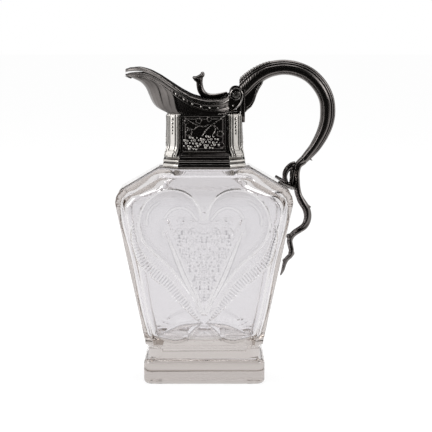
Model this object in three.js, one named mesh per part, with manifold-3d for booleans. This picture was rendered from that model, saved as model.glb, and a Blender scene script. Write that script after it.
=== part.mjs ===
// Claret jug: a bevelled slab of cut glass on a square foot, with a cast metal mount, lid and handle.
// Millimetres, +Z up, +X towards the handle. The origin is the centre of the foot's underside.
import * as THREE from 'three';
import { mergeVertices } from 'three/addons/utils/BufferGeometryUtils.js';
import Module from 'manifold-3d';

const wasm = await Module();
wasm.setup();

// Clearances
const seatGap = 0.3; // between a piece and the one it is soldered or screwed to
const runningGap = 0.3; // between the hinge pin and its bores

// Glass, from its underside up
const foot = { halfWidth: 50.3, halfDepth: 41, height: 20.8, corner: 7, edge: 3.6 };
const stem = { inset: 3.9, corner: 11, flare: 3, overlap: 0.6 };
const slab = { halfDepth: 37, bevel: 6.6, bottom: 32, bottomHalf: 48.8, shoulderHalf: 74, shoulder: 150.7 };
const cornerCut = { width: 3.3, height: 9.4, bulge: 0.9, bulgeShare: 0.56 };
const slopeStart = { x: slab.shoulderHalf - cornerCut.width, z: slab.shoulder + cornerCut.height };
const glassTop = { rise: 18.9, half: 38 }; // rise is above the start of the slope
const glassHeight = slopeStart.z + glassTop.rise;
const glassRing = { half: 35.3, front: 24.6, height: 7.3, edge: 1.4 };
const glassNeck = { half: 27.2, front: 18, rise: 35, root: 3, edge: 1 };
const glassWall = { side: 6.5, face: 8.4, slope: 15.5, floor: 2.5, boreRadius: 21.5 };

// Mount. Every height from here on is above the top of the glass.
// half is to the flat faces, front is half of one flat face.
const sleeve = { half: 30.7, front: 20.2, wall: 1.4, bottom: 9.4, flareTop: 16, top: 45.4, flare: 2.1 };
const collar = { proud: 3.9, cove: 1.2 };
const plaster = { bottom: 4, top: 31 };
const pilaster = { width: 13, depth: 1.5, stripWidth: 6.2, stripDepth: 1.2 };
const panel = { width: 36, depth: 0.9, border: 2.2, borderDepth: 0.8, margin: 1.2 };
const vine = { stem: 0.7, leafDepth: 0.8, grape: 1.4, grapeStep: 2.3, rowStep: 2, lift: 0.3 };

// Mouth, rim and lid: x and half width of the mouth, x and height of the edge that the lid sits on
const mouth = { radius: 31.8, tip: -66.5, rearTop: 46.9 };
const mouthFlank = [
  [-10, 31.2], [-18, 29.2], [-26, 25.9], [-34, 21.3], [-42, 16.2], [-50, 11.8], [-58, 8.4], [-63.4, 5.6],
];
const seatLine = [
  [-66.6, 76.9], [-63, 78.2], [-54.5, 78.9], [-45.9, 77.3], [-37.3, 73.4], [-28.9, 67.9],
  [-16.3, 59.8], [-7.9, 55.9], [4.6, 53.6], [12.9, 54], [17.1, 55.4], [20.7, 57.4],
];
const throatLine = [
  [0, 0], [0.14, 0.28], [0.28, 0.39], [0.48, 0.47], [0.66, 0.54], [0.82, 0.66], [0.92, 0.83], [1, 1],
];
const bandHeights = [
  [-66.5, 1.7], [-60, 3], [-54, 3.9], [-29, 4.2], [-16, 4.8], [4.6, 5.9], [13, 7], [20.4, 9.2],
];
const throat = { wall: 1, seat: 0.85 };
const rim = { depth: 1.1, pearl: 0.95, pearlSeat: 0.987, pearlCount: 7, pearlStart: 3, pearlStep: 7.2 };
const lid = { gap: 0.5, edge: 1.6, sheet: 1.5, dome: 2.4, rearDome: 0.5, rear: 20.4, inset: 0.2 };

// Hinge
const hinge = { x: 26.4, z: 61.1, pin: 1.5, barrel: 4.2, lidHalf: 11, frameHalf: 19.5, scrollEnd: 24.6 };
const scroll = { outer: 5.9, inner: 5.3, bottom: 47.4, turn: 1.12, eye: 0.66 };
const bridge = { thickness: 3.6 };
const strap = { half: 7.5, start: 17.4, thickness: 1.3 };

// Thumbpiece: x, height and thickness along its stem
const thumbStem = [
  [17, 61.2, 2.8], [13, 59, 3], [9, 57.9, 3.1], [4.5, 57.9, 3.3], [0, 59.4, 3.6], [-3, 62.2, 3.9],
  [-4.4, 66.5, 4.1], [-4.6, 71, 3.8], [-3.9, 74.6, 3.4],
];
const thumbHead = { lobe: 2.5, x: -3, z: 76.4, spread: 5.6, drop: 2.6 };

// Handle: x, height, thickness in the plane of the bow, width across it
const backPlate = { half: 8, low: 37, high: 59.6, thickness: 2.5 };
const bowLine = [
  [31, 58, 14, 15], [38.5, 65.7, 13.6, 14.6], [45.5, 72.6, 13.1, 14], [54, 79.6, 12.7, 13.4],
  [65.9, 83.3, 12.5, 13], [76.9, 82, 12.4, 13], [88, 76.9, 12.4, 12.8], [97.3, 68, 12.4, 12.6],
  [103.7, 56.9, 12.5, 12.4], [105, 46.3, 12.6, 12.2], [104.1, 36.5, 12, 11.8], [100.3, 26.3, 11, 11],
  [93.9, 15.3, 9, 9.4], [87.1, 7.6, 7.4, 7.8], [84.2, 4.7, 6.6, 7],
];
const rootLeaf = {
  half: 5.4, start: 7.5, bevel: 1.2,
  line: [[36, 47], [39.5, 49.9], [42.1, 54.6], [43.8, 59.8], [45.8, 64.4], [49.6, 70.6]],
};
const crest = { bead: 1.4, neck: 0.8, count: 9, first: 0.08, last: 0.26, across: 0.71, out: 0.94 };

// Tail and tendril: x, height and thickness
const tailLine = [
  [79.4, 1, 6.2], [78, -3.8, 5.2], [77.8, -8.1, 4.6], [78, -12.3, 4.5], [78.4, -17.4, 5],
  [79.8, -23.3, 5.6], [82.3, -29.2, 6], [86.2, -36, 6.5], [87.4, -42, 6.3], [86.5, -47, 5.6],
  [83.7, -51.3, 5.4], [79.5, -54.3, 5], [75.3, -56.4, 4.8], [72.2, -59.4, 4.4], [71.8, -63.2, 4.5],
  [72.8, -67.5, 4.8], [73.7, -71.7, 4.8], [72.9, -76, 4.4], [69.7, -79, 3.8], [67.8, -82.8, 3.2],
  [66.4, -88, 2.4], [64.7, -92.2, 1.2],
];
// The tendril is two strands that leave the tail together
const tendrilLine = [
  [77.1, 1.7, 4.6], [73.3, 0.4, 4.4], [70, -2.6, 4.2], [68.1, -6.4, 4], [67.9, -10.6, 3.8], [68.9, -13.4, 3.2],
];
const tendrilPartner = [
  [77.9, 1.7, 4.4], [75.4, -2.1, 4.2], [74, -6.4, 4], [73.5, -10.6, 3.8], [73.3, -15.2, 3.4],
];
const thorn = { x: 91, z: -35.6, length: 6, radius: 1.7, turn: 0.3 };
const shoulderLeaf = { length: 27, half: 4, thickness: 1.7, spread: 58, baseX: 72, offset: 3 };

const point = (x, y, z) => new THREE.Vector3(x, y, z);

// A closed body from rings of equal count: capped at both ends, or joined last to first
function skin(rings, joined = false) {
  const count = rings[0].length;
  const positions = rings.flat().flatMap((p) => [p.x, p.y, p.z]);
  const index = [];
  const bands = joined ? rings.length : rings.length - 1;
  for (let k = 0; k < bands; k++) {
    const low = k * count;
    const high = ((k + 1) % rings.length) * count;
    for (let i = 0; i < count; i++) {
      const next = (i + 1) % count;
      index.push(low + i, low + next, high + next, low + i, high + next, high + i);
    }
  }
  if (!joined) {
    capEnd(rings[0], 0, positions, index, false);
    capEnd(rings.at(-1), (rings.length - 1) * count, positions, index, true);
  }
  const geometry = new THREE.BufferGeometry();
  geometry.setAttribute('position', new THREE.Float32BufferAttribute(positions, 3));
  geometry.setIndex(index);
  return facingOut(geometry);
}

function capEnd(ring, start, positions, index, forward) {
  const middle = ring.reduce((sum, p) => sum.add(p), point(0, 0, 0)).divideScalar(ring.length);
  const centre = positions.length / 3;
  positions.push(middle.x, middle.y, middle.z);
  for (let i = 0; i < ring.length; i++) {
    const next = (i + 1) % ring.length;
    if (forward) index.push(start + i, start + next, centre);
    else index.push(start + next, start + i, centre);
  }
}

function facingOut(geometry) {
  const at = geometry.getAttribute('position');
  const index = geometry.getIndex().array;
  const [a, b, c] = [point(), point(), point()];
  let volume = 0;
  for (let i = 0; i < index.length; i += 3) {
    a.fromBufferAttribute(at, index[i]);
    b.fromBufferAttribute(at, index[i + 1]);
    c.fromBufferAttribute(at, index[i + 2]);
    volume += a.dot(b.cross(c));
  }
  if (volume < 0) geometry.setIndex(Array.from(index).reverse());
  return geometry;
}

function toSolid(geometry) {
  const plain = geometry.clone();
  plain.deleteAttribute('normal');
  plain.deleteAttribute('uv');
  const merged = mergeVertices(plain, 1e-4);
  const mesh = new wasm.Mesh({
    numProp: 3,
    vertProperties: new Float32Array(merged.getAttribute('position').array),
    triVerts: new Uint32Array(merged.getIndex().array),
  });
  return new wasm.Manifold(mesh);
}

function toGeometry(solid) {
  const mesh = solid.getMesh();
  const geometry = new THREE.BufferGeometry();
  geometry.setAttribute('position', new THREE.Float32BufferAttribute(mesh.vertProperties, 3));
  geometry.setIndex(Array.from(mesh.triVerts));
  return geometry;
}

function join(...geometries) {
  return toGeometry(geometries.map(toSolid).reduce((sum, solid) => sum.add(solid)));
}

function cut(body, ...tools) {
  return toGeometry(tools.map(toSolid).reduce((rest, tool) => rest.subtract(tool), toSolid(body)));
}

// Ring of a rectangle whose corners are cut at 45 degrees, or rounded where steps is more than 1
function cornerRing(halfX, halfY, corner, z, steps = 1) {
  const ring = [];
  for (const [signX, signY, start] of [[1, 1, 0], [-1, 1, 1], [-1, -1, 2], [1, -1, 3]]) {
    for (let i = 0; i <= steps; i++) {
      const angle = (start + i / steps) * Math.PI / 2;
      const x = signX * (halfX - corner) + corner * Math.cos(angle);
      const y = signY * (halfY - corner) + corner * Math.sin(angle);
      ring.push(point(x, y, z));
    }
  }
  return ring;
}

// The mount's canted square, moved out or in by offset with every face kept parallel
function squareRing(offset, z) {
  const half = sleeve.half + offset;
  const front = sleeve.front + offset * Math.tan(Math.PI / 8);
  return cornerRing(half, half, half - front, z);
}

function tube(outer, inner) {
  return skin([...outer, ...inner.reverse()], true);
}

function box(x0, x1, y0, y1, z0, z1) {
  const geometry = new THREE.BoxGeometry(x1 - x0, y1 - y0, z1 - z0);
  return geometry.translate((x0 + x1) / 2, (y0 + y1) / 2, (z0 + z1) / 2);
}

// Value of a smooth line through [place, value] points, monotone between them
function along(line, place) {
  const last = line.length - 1;
  if (place <= line[0][0]) return line[0][1];
  if (place >= line[last][0]) return line[last][1];
  const k = line.findIndex((entry) => entry[0] >= place) - 1;
  const [x0, y0] = line[k];
  const [x1, y1] = line[k + 1];
  const chord = (i) => (line[i + 1][1] - line[i][1]) / (line[i + 1][0] - line[i][0]);
  const slope = (i) => {
    if (i === 0) return chord(0);
    if (i === last) return chord(last - 1);
    const [before, after] = [chord(i - 1), chord(i)];
    return before * after <= 0 ? 0 : (2 * before * after) / (before + after);
  };
  const span = x1 - x0;
  const t = (place - x0) / span;
  const rise = (3 - 2 * t) * t * t;
  return y0 * (1 - rise) + y1 * rise + span * t * (1 - t) * ((1 - t) * slope(k) - t * slope(k + 1));
}

// Rings of a section swept along a smooth branch in the XZ plane. A section point is [outward, across].
function branchFrames(line, steps) {
  const centres = new THREE.CatmullRomCurve3(line.map(([x, z]) => point(x, 0, z)));
  const sizes = new THREE.CatmullRomCurve3(line.map((entry) => point(entry[2], entry[3] ?? entry[2], 0)));
  const frames = [];
  for (let i = 0; i <= steps; i++) {
    const centre = centres.getPoint(i / steps);
    const forward = centres.getTangent(i / steps);
    const size = sizes.getPoint(i / steps);
    frames.push({ centre, outward: point(-forward.z, 0, forward.x), thick: size.x / 2, wide: size.y / 2 });
  }
  return frames;
}

function branch(line, steps, section, extra = 0) {
  const rings = branchFrames(line, steps).map(({ centre, outward, thick, wide }) => section.map(([a, b]) => {
    const ringPoint = centre.clone().addScaledVector(outward, a * (thick + extra));
    return ringPoint.add(point(0, b * (wide + extra), 0));
  }));
  return skin(rings);
}

const roundSection = (count) => Array.from({ length: count }, (_, i) => {
  const angle = (i / count) * 2 * Math.PI;
  return [Math.cos(angle), Math.sin(angle)];
});

// Outer bead, a groove, then two broad flanks
const bowSection = [
  [1, 0], [0.9, 0.4], [0.62, 0.62], [0.36, 0.58], [0.16, 0.84], [-0.3, 1], [-0.76, 0.84], [-1, 0.4],
  [-1, -0.4], [-0.76, -0.84], [-0.3, -1], [0.16, -0.84], [0.36, -0.58], [0.62, -0.62], [0.9, -0.4],
];

const metal = { color: 0x4b4742, roughness: 0.3, metalness: 1 };
const finishes = {
  glass: { color: 0xe9eaf0, roughness: 0.02, metalness: 0, transparent: true, opacity: 0.35 },
  plaster: { color: 0xcfc6b2, roughness: 0.9, metalness: 0 },
  metal,
};

const jug = new THREE.Group();

function place(name, geometry, finish) {
  const mesh = new THREE.Mesh(geometry, new THREE.MeshStandardMaterial(finishes[finish]));
  mesh.name = name;
  jug.add(mesh);
  return mesh;
}

// Glass body
function slabHalfAt(z) {
  const share = (z - slab.bottom) / (slab.shoulder - slab.bottom);
  return slab.bottomHalf + share * (slab.shoulderHalf - slab.bottomHalf);
}

const slopeRun = (slopeStart.x - glassTop.half) / glassTop.rise;

function slopeHalfAt(z) {
  return slopeStart.x - (z - slopeStart.z) * slopeRun;
}

function slabOutline() {
  const bulgeX = slab.shoulderHalf - cornerCut.bulge;
  const bulgeZ = slab.shoulder + cornerCut.height * cornerCut.bulgeShare;
  const right = [
    [slab.bottomHalf, slab.bottom], [slab.shoulderHalf, slab.shoulder], [bulgeX, bulgeZ],
    [slopeStart.x, slopeStart.z], [glassTop.half, glassHeight],
  ];
  return [...right, ...right.map(([x, z]) => [-x, z]).reverse()];
}

// Moves each edge of an outline inwards by its own distance and meets neighbouring edges again
function insetOutline(outline, distance) {
  const count = outline.length;
  const edges = outline.map(([x0, z0], i) => {
    const [x1, z1] = outline[(i + 1) % count];
    const length = Math.hypot(x1 - x0, z1 - z0);
    const normal = [-(z1 - z0) / length, (x1 - x0) / length];
    return { normal, level: normal[0] * x0 + normal[1] * z0 + distance(i) };
  });
  return edges.map((edge, i) => {
    const before = edges[(i + count - 1) % count];
    const det = before.normal[0] * edge.normal[1] - before.normal[1] * edge.normal[0];
    const x = (before.level * edge.normal[1] - edge.level * before.normal[1]) / det;
    const z = (before.normal[0] * edge.level - edge.normal[0] * before.level) / det;
    return [x, z];
  });
}

function glassSlab() {
  const outline = slabOutline();
  const bottomEdge = outline.length - 1;
  const face = insetOutline(outline, (i) => (i === bottomEdge ? 0 : slab.bevel));
  const ringAt = (points, y) => points.map(([x, z]) => point(x, y, z));
  const edge = slab.halfDepth - slab.bevel;
  return skin([
    ringAt(face, -slab.halfDepth), ringAt(outline, -edge),
    ringAt(outline, edge), ringAt(face, slab.halfDepth),
  ]);
}

function glassFoot() {
  const { halfWidth, halfDepth, height, corner, edge } = foot;
  const quarter = [[0, edge], [edge * 0.3, edge * 0.3], [edge, 0]];
  const levels = [...quarter, ...quarter.map(([z, inset]) => [height - z, inset]).reverse()];
  return skin(levels.map(([z, inset]) => (
    cornerRing(halfWidth - inset, halfDepth - inset, corner - inset * 0.5, z, 3)
  )));
}

function glassStem() {
  const halfX = foot.halfWidth - stem.inset;
  const halfY = slab.halfDepth - stem.flare;
  const low = foot.height - foot.edge;
  const high = slab.bottom - stem.flare;
  return skin([
    cornerRing(halfX, halfY, stem.corner, low), cornerRing(halfX, halfY, stem.corner, high),
    cornerRing(slab.bottomHalf, slab.halfDepth, stem.corner, slab.bottom + stem.overlap),
  ]);
}

function glassTopRing() {
  const { half, front, height, edge } = glassRing;
  const levels = [[-height - 1, 0.6], [-height, 0.6], [-height + edge, 0], [-edge, 0], [0, edge * 0.6]];
  return skin(levels.map(([z, inset]) => (
    cornerRing(half - inset, half - inset, half - front, glassHeight + z)
  )));
}

// The hollow, from its floor to the mouth of the neck: height, half width, half depth, corner radius
function glassHollow() {
  const { side, face, slope, boreRadius } = glassWall;
  const depth = slab.halfDepth - face;
  const floor = slab.bottom + glassWall.floor;
  const middle = (floor + slab.shoulder) / 2;
  const inside = (z) => slabHalfAt(z) - side;
  const underSlope = (share, thinner, corner) => {
    const z = slopeStart.z + share * glassTop.rise;
    return [z, slopeHalfAt(z) - slope, depth - thinner, corner];
  };
  const levels = [
    [floor, inside(floor) - 7, depth - 8, 7],
    [floor + 1.6, inside(floor) - 2.6, depth - 3, 7],
    [floor + 6, inside(floor + 6), depth, 7],
    [middle, inside(middle), depth, 7],
    [slab.shoulder - 4, inside(slab.shoulder - 4), depth, 8],
    [slab.shoulder + 5, inside(slab.shoulder) - 4.5, depth - 1.2, 11],
    underSlope(0, 2.6, 14),
    underSlope(0.312, 4.8, 18),
    underSlope(0.5, 6.2, 20),
    [glassHeight - 5.5, boreRadius + 5, boreRadius + 0.2, 19],
    [glassHeight - 1, boreRadius + 0.4, boreRadius, 20],
    [glassHeight + 3, boreRadius, boreRadius, boreRadius - 0.01],
    [glassHeight + glassNeck.rise + 1, boreRadius, boreRadius, boreRadius - 0.01],
  ];
  return skin(levels.map(([z, halfX, halfY, corner]) => cornerRing(halfX, halfY, corner, z, 5)));
}

function glassBody() {
  const { half, front, rise, root, edge } = glassNeck;
  const top = glassHeight + rise;
  const corner = half - front;
  const neck = skin([
    cornerRing(half, half, corner, glassHeight - root), cornerRing(half, half, corner, top - edge),
    cornerRing(half - edge, half - edge, corner, top),
  ]);
  return cut(join(glassFoot(), glassStem(), glassSlab(), glassTopRing(), neck), glassHollow());
}
place('glass_body', glassBody(), 'glass');

// Mount: plaster bed, collar and sleeve
function neckPlaster() {
  const outer = (z) => squareRing(-sleeve.wall - seatGap, z);
  const corner = glassNeck.half - glassNeck.front;
  const inner = (z) => cornerRing(glassNeck.half + seatGap, glassNeck.half + seatGap, corner, z);
  return tube([outer(plaster.bottom), outer(plaster.top)], [inner(plaster.bottom), inner(plaster.top)]);
}

// A profile point is the share of the collar's height and the offset from the sleeve's face
function baseCollar() {
  const { proud, cove } = collar;
  const profile = [
    [0, proud - 0.9], [0.05, proud - 0.3], [0.16, proud], [0.36, proud], [0.46, proud - 0.5],
    [0.5, proud - 1.6], [0.56, proud - 1.6], [0.6, proud - 0.8], [0.72, proud - 0.6], [0.8, proud - 1],
    [0.86, cove + 0.6], [1, cove],
  ];
  const outer = profile.map(([share, offset]) => squareRing(offset, share * sleeve.bottom));
  const inside = -sleeve.wall;
  return tube(outer, [squareRing(inside, 0), squareRing(inside, sleeve.bottom)]);
}

function neckSleeve() {
  const { wall, bottom, flareTop, top, flare } = sleeve;
  const rise = flareTop - bottom;
  const profile = [
    [0, flare - 0.5], [0.12, flare], [0.34, flare], [0.55, flare * 0.55], [0.8, flare * 0.16], [1, 0],
  ];
  const outer = profile.map(([share, offset]) => squareRing(offset, bottom + share * rise));
  outer.push(squareRing(0, top));
  return tube(outer, [squareRing(-wall, bottom), squareRing(-wall, top)]);
}

// An upright strip with a raised middle and a string of husks, built facing -Y
function pilasterStrip() {
  const { width, depth, stripWidth, stripDepth } = pilaster;
  const half = width / 2;
  const strip = stripWidth / 2;
  const front = -depth - stripDepth;
  const section = new THREE.Shape([
    [-half, 0], [half, 0], [half, -depth * 0.6], [half - 0.8, -depth], [strip + 0.8, -depth], [strip, front],
    [-strip, front], [-strip - 0.8, -depth], [-half + 0.8, -depth], [-half, -depth * 0.6],
  ].map(([x, y]) => new THREE.Vector2(x, y)));
  const height = sleeve.top - sleeve.flareTop;
  const body = new THREE.ExtrudeGeometry(section, { depth: height, bevelEnabled: false });
  const husks = [0.86, 0.7, 0.55].map((share, i) => {
    const husk = new THREE.SphereGeometry(1, 6, 4);
    husk.rotateX(Math.PI / 2);
    const size = 1 - 0.18 * i;
    return husk.scale(1.9 * size, 1, 2.9 * size).translate(0, front, share * height);
  });
  return join(body, ...husks);
}

function vineLeaf(size) {
  const tips = [[0, -1], [0.34, -0.42], [0.92, -0.5], [0.6, 0.06], [0.86, 0.6], [0.3, 0.46], [0, 1.05]];
  const mirrored = tips.slice(1, -1).reverse().map(([x, y]) => [-x, y]);
  const outline = [...tips, ...mirrored].map(([x, y]) => new THREE.Vector2(x * size, y * size));
  return new THREE.ExtrudeGeometry(new THREE.Shape(outline), { depth: vine.leafDepth, bevelEnabled: false });
}

// A framed plate with a vine branch, leaves and grapes in relief, built facing -Y, with its foot at z = 0
function vinePanel(height) {
  const { width, depth, border, borderDepth } = panel;
  const half = width / 2;
  const plate = box(-half, half, -depth, 0, 0, height);
  const frame = cut(
    box(-half, half, -depth - borderDepth, -depth / 2, 0, height),
    box(-half + border, half - border, -9, 0, border, height - border),
  );
  const { stem: stemRadius, grape, grapeStep, rowStep, lift } = vine;
  const stemPath = new THREE.CatmullRomCurve3([
    point(-half + 3, -depth, height - 4), point(-4, -depth - lift, height * 0.74),
    point(1, -depth - lift, height * 0.5), point(9, -depth - lift, height * 0.78),
    point(half - 3, -depth, height - 4),
  ]);
  const round = roundSection(5).map(([x, y]) => new THREE.Vector2(x * stemRadius, y * stemRadius));
  const branchStem = new THREE.ExtrudeGeometry(new THREE.Shape(round), { steps: 8, extrudePath: stemPath });
  const leafPlaces = [
    [-10, 0.62, 0.6, 3.4], [-1.5, 0.8, -0.5, 3.2], [6, 0.55, 2.6, 3.3], [12.4, 0.66, -0.9, 2.8],
  ];
  const leaves = leafPlaces.map(([x, share, turn, size]) => {
    const leaf = vineLeaf(size).rotateZ(turn).rotateX(Math.PI / 2);
    return leaf.translate(x, -depth + 0.2, share * height);
  });
  const bunchPlaces = [[-8, 9, 3], [3, 8.4, 3], [11.6, 9.4, 2]];
  const grapes = [];
  for (const [x, z, rows] of bunchPlaces) {
    for (let row = 0; row < rows; row++) {
      for (let i = 0; i < rows - row; i++) {
        const across = x + (i - (rows - row - 1) / 2) * grapeStep;
        grapes.push(new THREE.IcosahedronGeometry(grape).translate(across, -depth - lift, z - row * rowStep));
      }
    }
  }
  return join(plate, frame, branchStem, ...leaves, ...grapes);
}

function faceOn(mesh, angle, distance, z) {
  mesh.position.set(Math.sin(angle) * distance, -Math.cos(angle) * distance, z);
  mesh.rotation.z = angle;
}

// Mouth outline. Point 0 is at the back, a quarter at the near or far side and the half at the spout tip.
const quarter = 9; // steps round a quarter of the mouth, a multiple of 3
const flankFromTip = [[mouth.tip, 0], [mouth.tip + 0.8, 3.1], ...mouthFlank.toReversed(), [0, mouth.radius]];

function mouthHalfAt(x) {
  if (x >= 0) return Math.sqrt(Math.max(0, mouth.radius ** 2 - x ** 2));
  return along(flankFromTip, x);
}

const flankCurve = new THREE.CatmullRomCurve3(flankFromTip.toReversed().map(([x, y]) => point(x, y, 0)));

function mouthOutline(inset) {
  const half = [];
  for (let i = 0; i <= quarter; i++) {
    const angle = (i / quarter) * Math.PI / 2;
    half.push(point(mouth.radius * Math.cos(angle), mouth.radius * Math.sin(angle), 0));
  }
  for (let i = 1; i <= quarter; i++) half.push(flankCurve.getPointAt(1 - (1 - i / quarter) ** 1.4));
  const whole = [...half, ...half.slice(1, -1).reverse().map((p) => point(p.x, -p.y, 0))];
  return offsetLoop(whole, -inset);
}

function offsetLoop(loop, distance) {
  return loop.map((p, i) => {
    const before = loop[(i + loop.length - 1) % loop.length];
    const after = loop[(i + 1) % loop.length];
    const out = point(after.y - before.y, before.x - after.x, 0).normalize();
    return p.clone().addScaledVector(out, distance);
  });
}

function squareOutline(offset) {
  const corners = squareRing(offset, 0);
  const start = point(corners[0].x, 0, 0);
  const stops = [start, ...corners, start];
  const points = [];
  for (let k = 0; k + 1 < stops.length; k++) {
    const steps = k === 0 || k === stops.length - 2 || k % 2 === 1 ? quarter / 3 : quarter * 2 / 3;
    for (let i = 0; i < steps; i++) points.push(stops[k].clone().lerp(stops[k + 1], i / steps));
  }
  return points;
}

function throatTopAt(x) {
  return along(seatLine, x) - throat.seat * along(bandHeights, x);
}

// The flared shell between the sleeve and the mouth, low at the back where the hinge frame stands
function spoutThroat(grow = 0) {
  const inset = rim.depth + seatGap - grow;
  const foot0 = squareOutline(grow);
  const lip = mouthOutline(inset);
  const rearFrom = lid.rear - 1.1;
  const levels = [0, 0.14, 0.28, 0.42, 0.56, 0.7, 0.84, 0.93, 1];
  const topAt = (p) => (p.x > rearFrom - inset ? mouth.rearTop - 0.5 : throatTopAt(p.x));
  const seatAt = (p) => (p.x > rearFrom - inset ? mouth.rearTop : along(seatLine, p.x));
  const outer = levels.map((level) => foot0.map((p, i) => {
    const spread = along(throatLine, level);
    const at = p.clone().lerp(lip[i], spread);
    return at.setZ(sleeve.top + level * (topAt(lip[i]) - sleeve.top));
  }));
  outer.push(lip.map((p) => p.clone().setZ(seatAt(p))));
  if (grow) return skin(outer);
  const inner = outer.map((ring, k) => innerRing(outer, k, throat.wall));
  return tube(outer, inner);
}

// Moves one ring of a shell inwards along the surface normal; the end rings stay at their height
function innerRing(rings, k, wall) {
  const count = rings[k].length;
  const below = rings[Math.max(0, k - 1)];
  const above = rings[Math.min(rings.length - 1, k + 1)];
  return rings[k].map((p, i) => {
    const acrossRing = rings[k][(i + 1) % count].clone().sub(rings[k][(i + count - 1) % count]);
    const upward = above[i].clone().sub(below[i]);
    const normal = acrossRing.cross(upward).normalize();
    const moved = p.clone().addScaledVector(normal, -wall);
    if (k === 0 || k === rings.length - 1) {
      const flat = point(normal.x, normal.y, 0).normalize();
      return p.clone().addScaledVector(flat, -wall);
    }
    moved.z = Math.max(moved.z, rings[0][i].z + 0.1);
    return moved;
  });
}

// Moulded band round the mouth, from one hinge scroll round the spout to the other, with its pearls
const bandStart = Math.round((Math.acos(lid.rear / mouth.radius) / (Math.PI / 2)) * quarter);

const bandSection = [
  [-1, 0], [0, 0], [0, -0.16], [-0.35, -0.26], [-0.35, -0.72], [0, -0.82], [0, -0.94], [-0.4, -1], [-1, -1],
];

function rimBand() {
  const outer = mouthOutline(0).slice(bandStart, 4 * quarter - bandStart + 1);
  const inner = mouthOutline(rim.depth).slice(bandStart, 4 * quarter - bandStart + 1);
  const rings = outer.map((p, i) => bandSection.map(([proud, share]) => (
    p.clone().lerp(inner[i], -proud).setZ(along(seatLine, p.x) + share * along(bandHeights, p.x))
  )));
  const pearls = [];
  const side = new THREE.CatmullRomCurve3(outer.slice(0, 2 * quarter - bandStart + 1));
  for (let k = 0; k < rim.pearlCount; k++) {
    const spot = side.getPointAt((rim.pearlStart + k * rim.pearlStep) / side.getLength());
    const z = along(seatLine, spot.x) - 0.49 * along(bandHeights, spot.x);
    for (const sign of [1, -1]) {
      const pearl = new THREE.IcosahedronGeometry(rim.pearl);
      pearls.push(pearl.translate(spot.x * rim.pearlSeat, sign * spot.y * rim.pearlSeat, z));
    }
  }
  return cut(join(skin(rings), ...pearls), spoutThroat(seatGap));
}

// Lid: a thin domed sheet that follows the seat line out over the spout
function lidTopAt(x, across = 0) {
  const dome = along([[mouth.tip, lid.dome], [-20, lid.dome * 0.75], [lid.rear, lid.rearDome]], x);
  return along(seatLine, x) + lid.gap + lid.edge + dome * (1 - across ** 2);
}

function lidSheet() {
  const count = 8;
  const stations = 17; // closer together towards the tip of the spout
  const rings = Array.from({ length: stations }, (_, k) => {
    const share = 1 - (1 - k / (stations - 1)) ** 1.25;
    const x = lid.rear + share * (mouth.tip + 0.5 - lid.rear);
    const half = Math.max(1.2, mouthHalfAt(x) - lid.inset);
    const top = [];
    const bottom = [];
    for (let i = 0; i <= count; i++) {
      const across = -1 + (2 * i) / count;
      const height = lidTopAt(x, across);
      const y = across * half;
      top.push(point(x, y, height));
      const under = Math.abs(across) === 1 ? lid.edge : lid.sheet;
      bottom.push(point(x, y * 0.995, height - under));
    }
    return [...top, ...bottom.reverse()];
  });
  return skin(rings);
}

// Hinge parts are built along Y round the hinge line
function hingeCylinder(radius, y0, y1, segments = 20) {
  const geometry = new THREE.CylinderGeometry(radius, radius, y1 - y0, segments);
  return geometry.translate(0, (y0 + y1) / 2, 0).translate(hinge.x, 0, hinge.z);
}

const boreTool = () => hingeCylinder(hinge.pin + runningGap, -40, 40);

function plateFromOutline(points, y0, y1, bevel = 0) {
  const shape = new THREE.Shape(points.map(([x, z]) => new THREE.Vector2(x, z)));
  const geometry = new THREE.ExtrudeGeometry(shape, {
    depth: y1 - y0 - 2 * bevel,
    bevelEnabled: bevel > 0,
    bevelThickness: bevel,
    bevelSize: bevel,
    bevelOffset: -bevel,
    bevelSegments: 1,
  });
  return geometry.rotateX(Math.PI / 2).translate(0, y1 - bevel, 0);
}

function hingeScroll(side) {
  const { x, z, frameHalf, scrollEnd } = hinge;
  const turn = Array.from({ length: 15 }, (_, i) => {
    const angle = (i / 14) * scroll.turn * Math.PI;
    const radius = scroll.outer - (scroll.outer - scroll.inner) * (i / 14);
    return [x + radius * Math.cos(angle), z + radius * Math.sin(angle)];
  });
  const left = lid.rear + seatGap;
  const outline = [
    [left, z - 3.6], [left, scroll.bottom + 0.4], [x - 2, scroll.bottom + 1.4], [x + 2, scroll.bottom + 4],
    [x + 4.6, z - 6], [x + 5.8, z - 2.6], ...turn,
  ];
  const inner = frameHalf + seatGap;
  const plate = plateFromOutline(outline, inner, scrollEnd, 0.5);
  const eye = hingeCylinder(scroll.inner * scroll.eye, scrollEnd - 0.6, scrollEnd + 0.5);
  const body = cut(join(plate, eye), boreTool());
  return side > 0 ? body : mirrorY(body);
}

function mirrorY(geometry) {
  const mirrored = geometry.clone().scale(1, -1, 1);
  return facingOut(mirrored);
}

// The rear wall of the mouth, its shelf and the two outer knuckles in one casting
function hingeFrame() {
  const { x, z, barrel, lidHalf, frameHalf } = hinge;
  const rear = sleeve.half - 0.1;
  const high = z - barrel - runningGap;
  const wall = box(rear - bridge.thickness, rear, -frameHalf, frameHalf, mouth.rearTop + seatGap, high);
  const shelf = box(x - 4.6, rear - 0.5, -frameHalf, frameHalf, high - bridge.thickness, high);
  const inner = lidHalf + runningGap;
  const knuckles = [1, -1].flatMap((side) => {
    const y0 = side > 0 ? inner : -frameHalf;
    const y1 = side > 0 ? frameHalf : -inner;
    return [hingeCylinder(barrel, y0, y1), box(x - 3.2, x + 3.4, y0, y1, high - 1, z - 1)];
  });
  return cut(join(wall, shelf, ...knuckles), boreTool());
}

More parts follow.
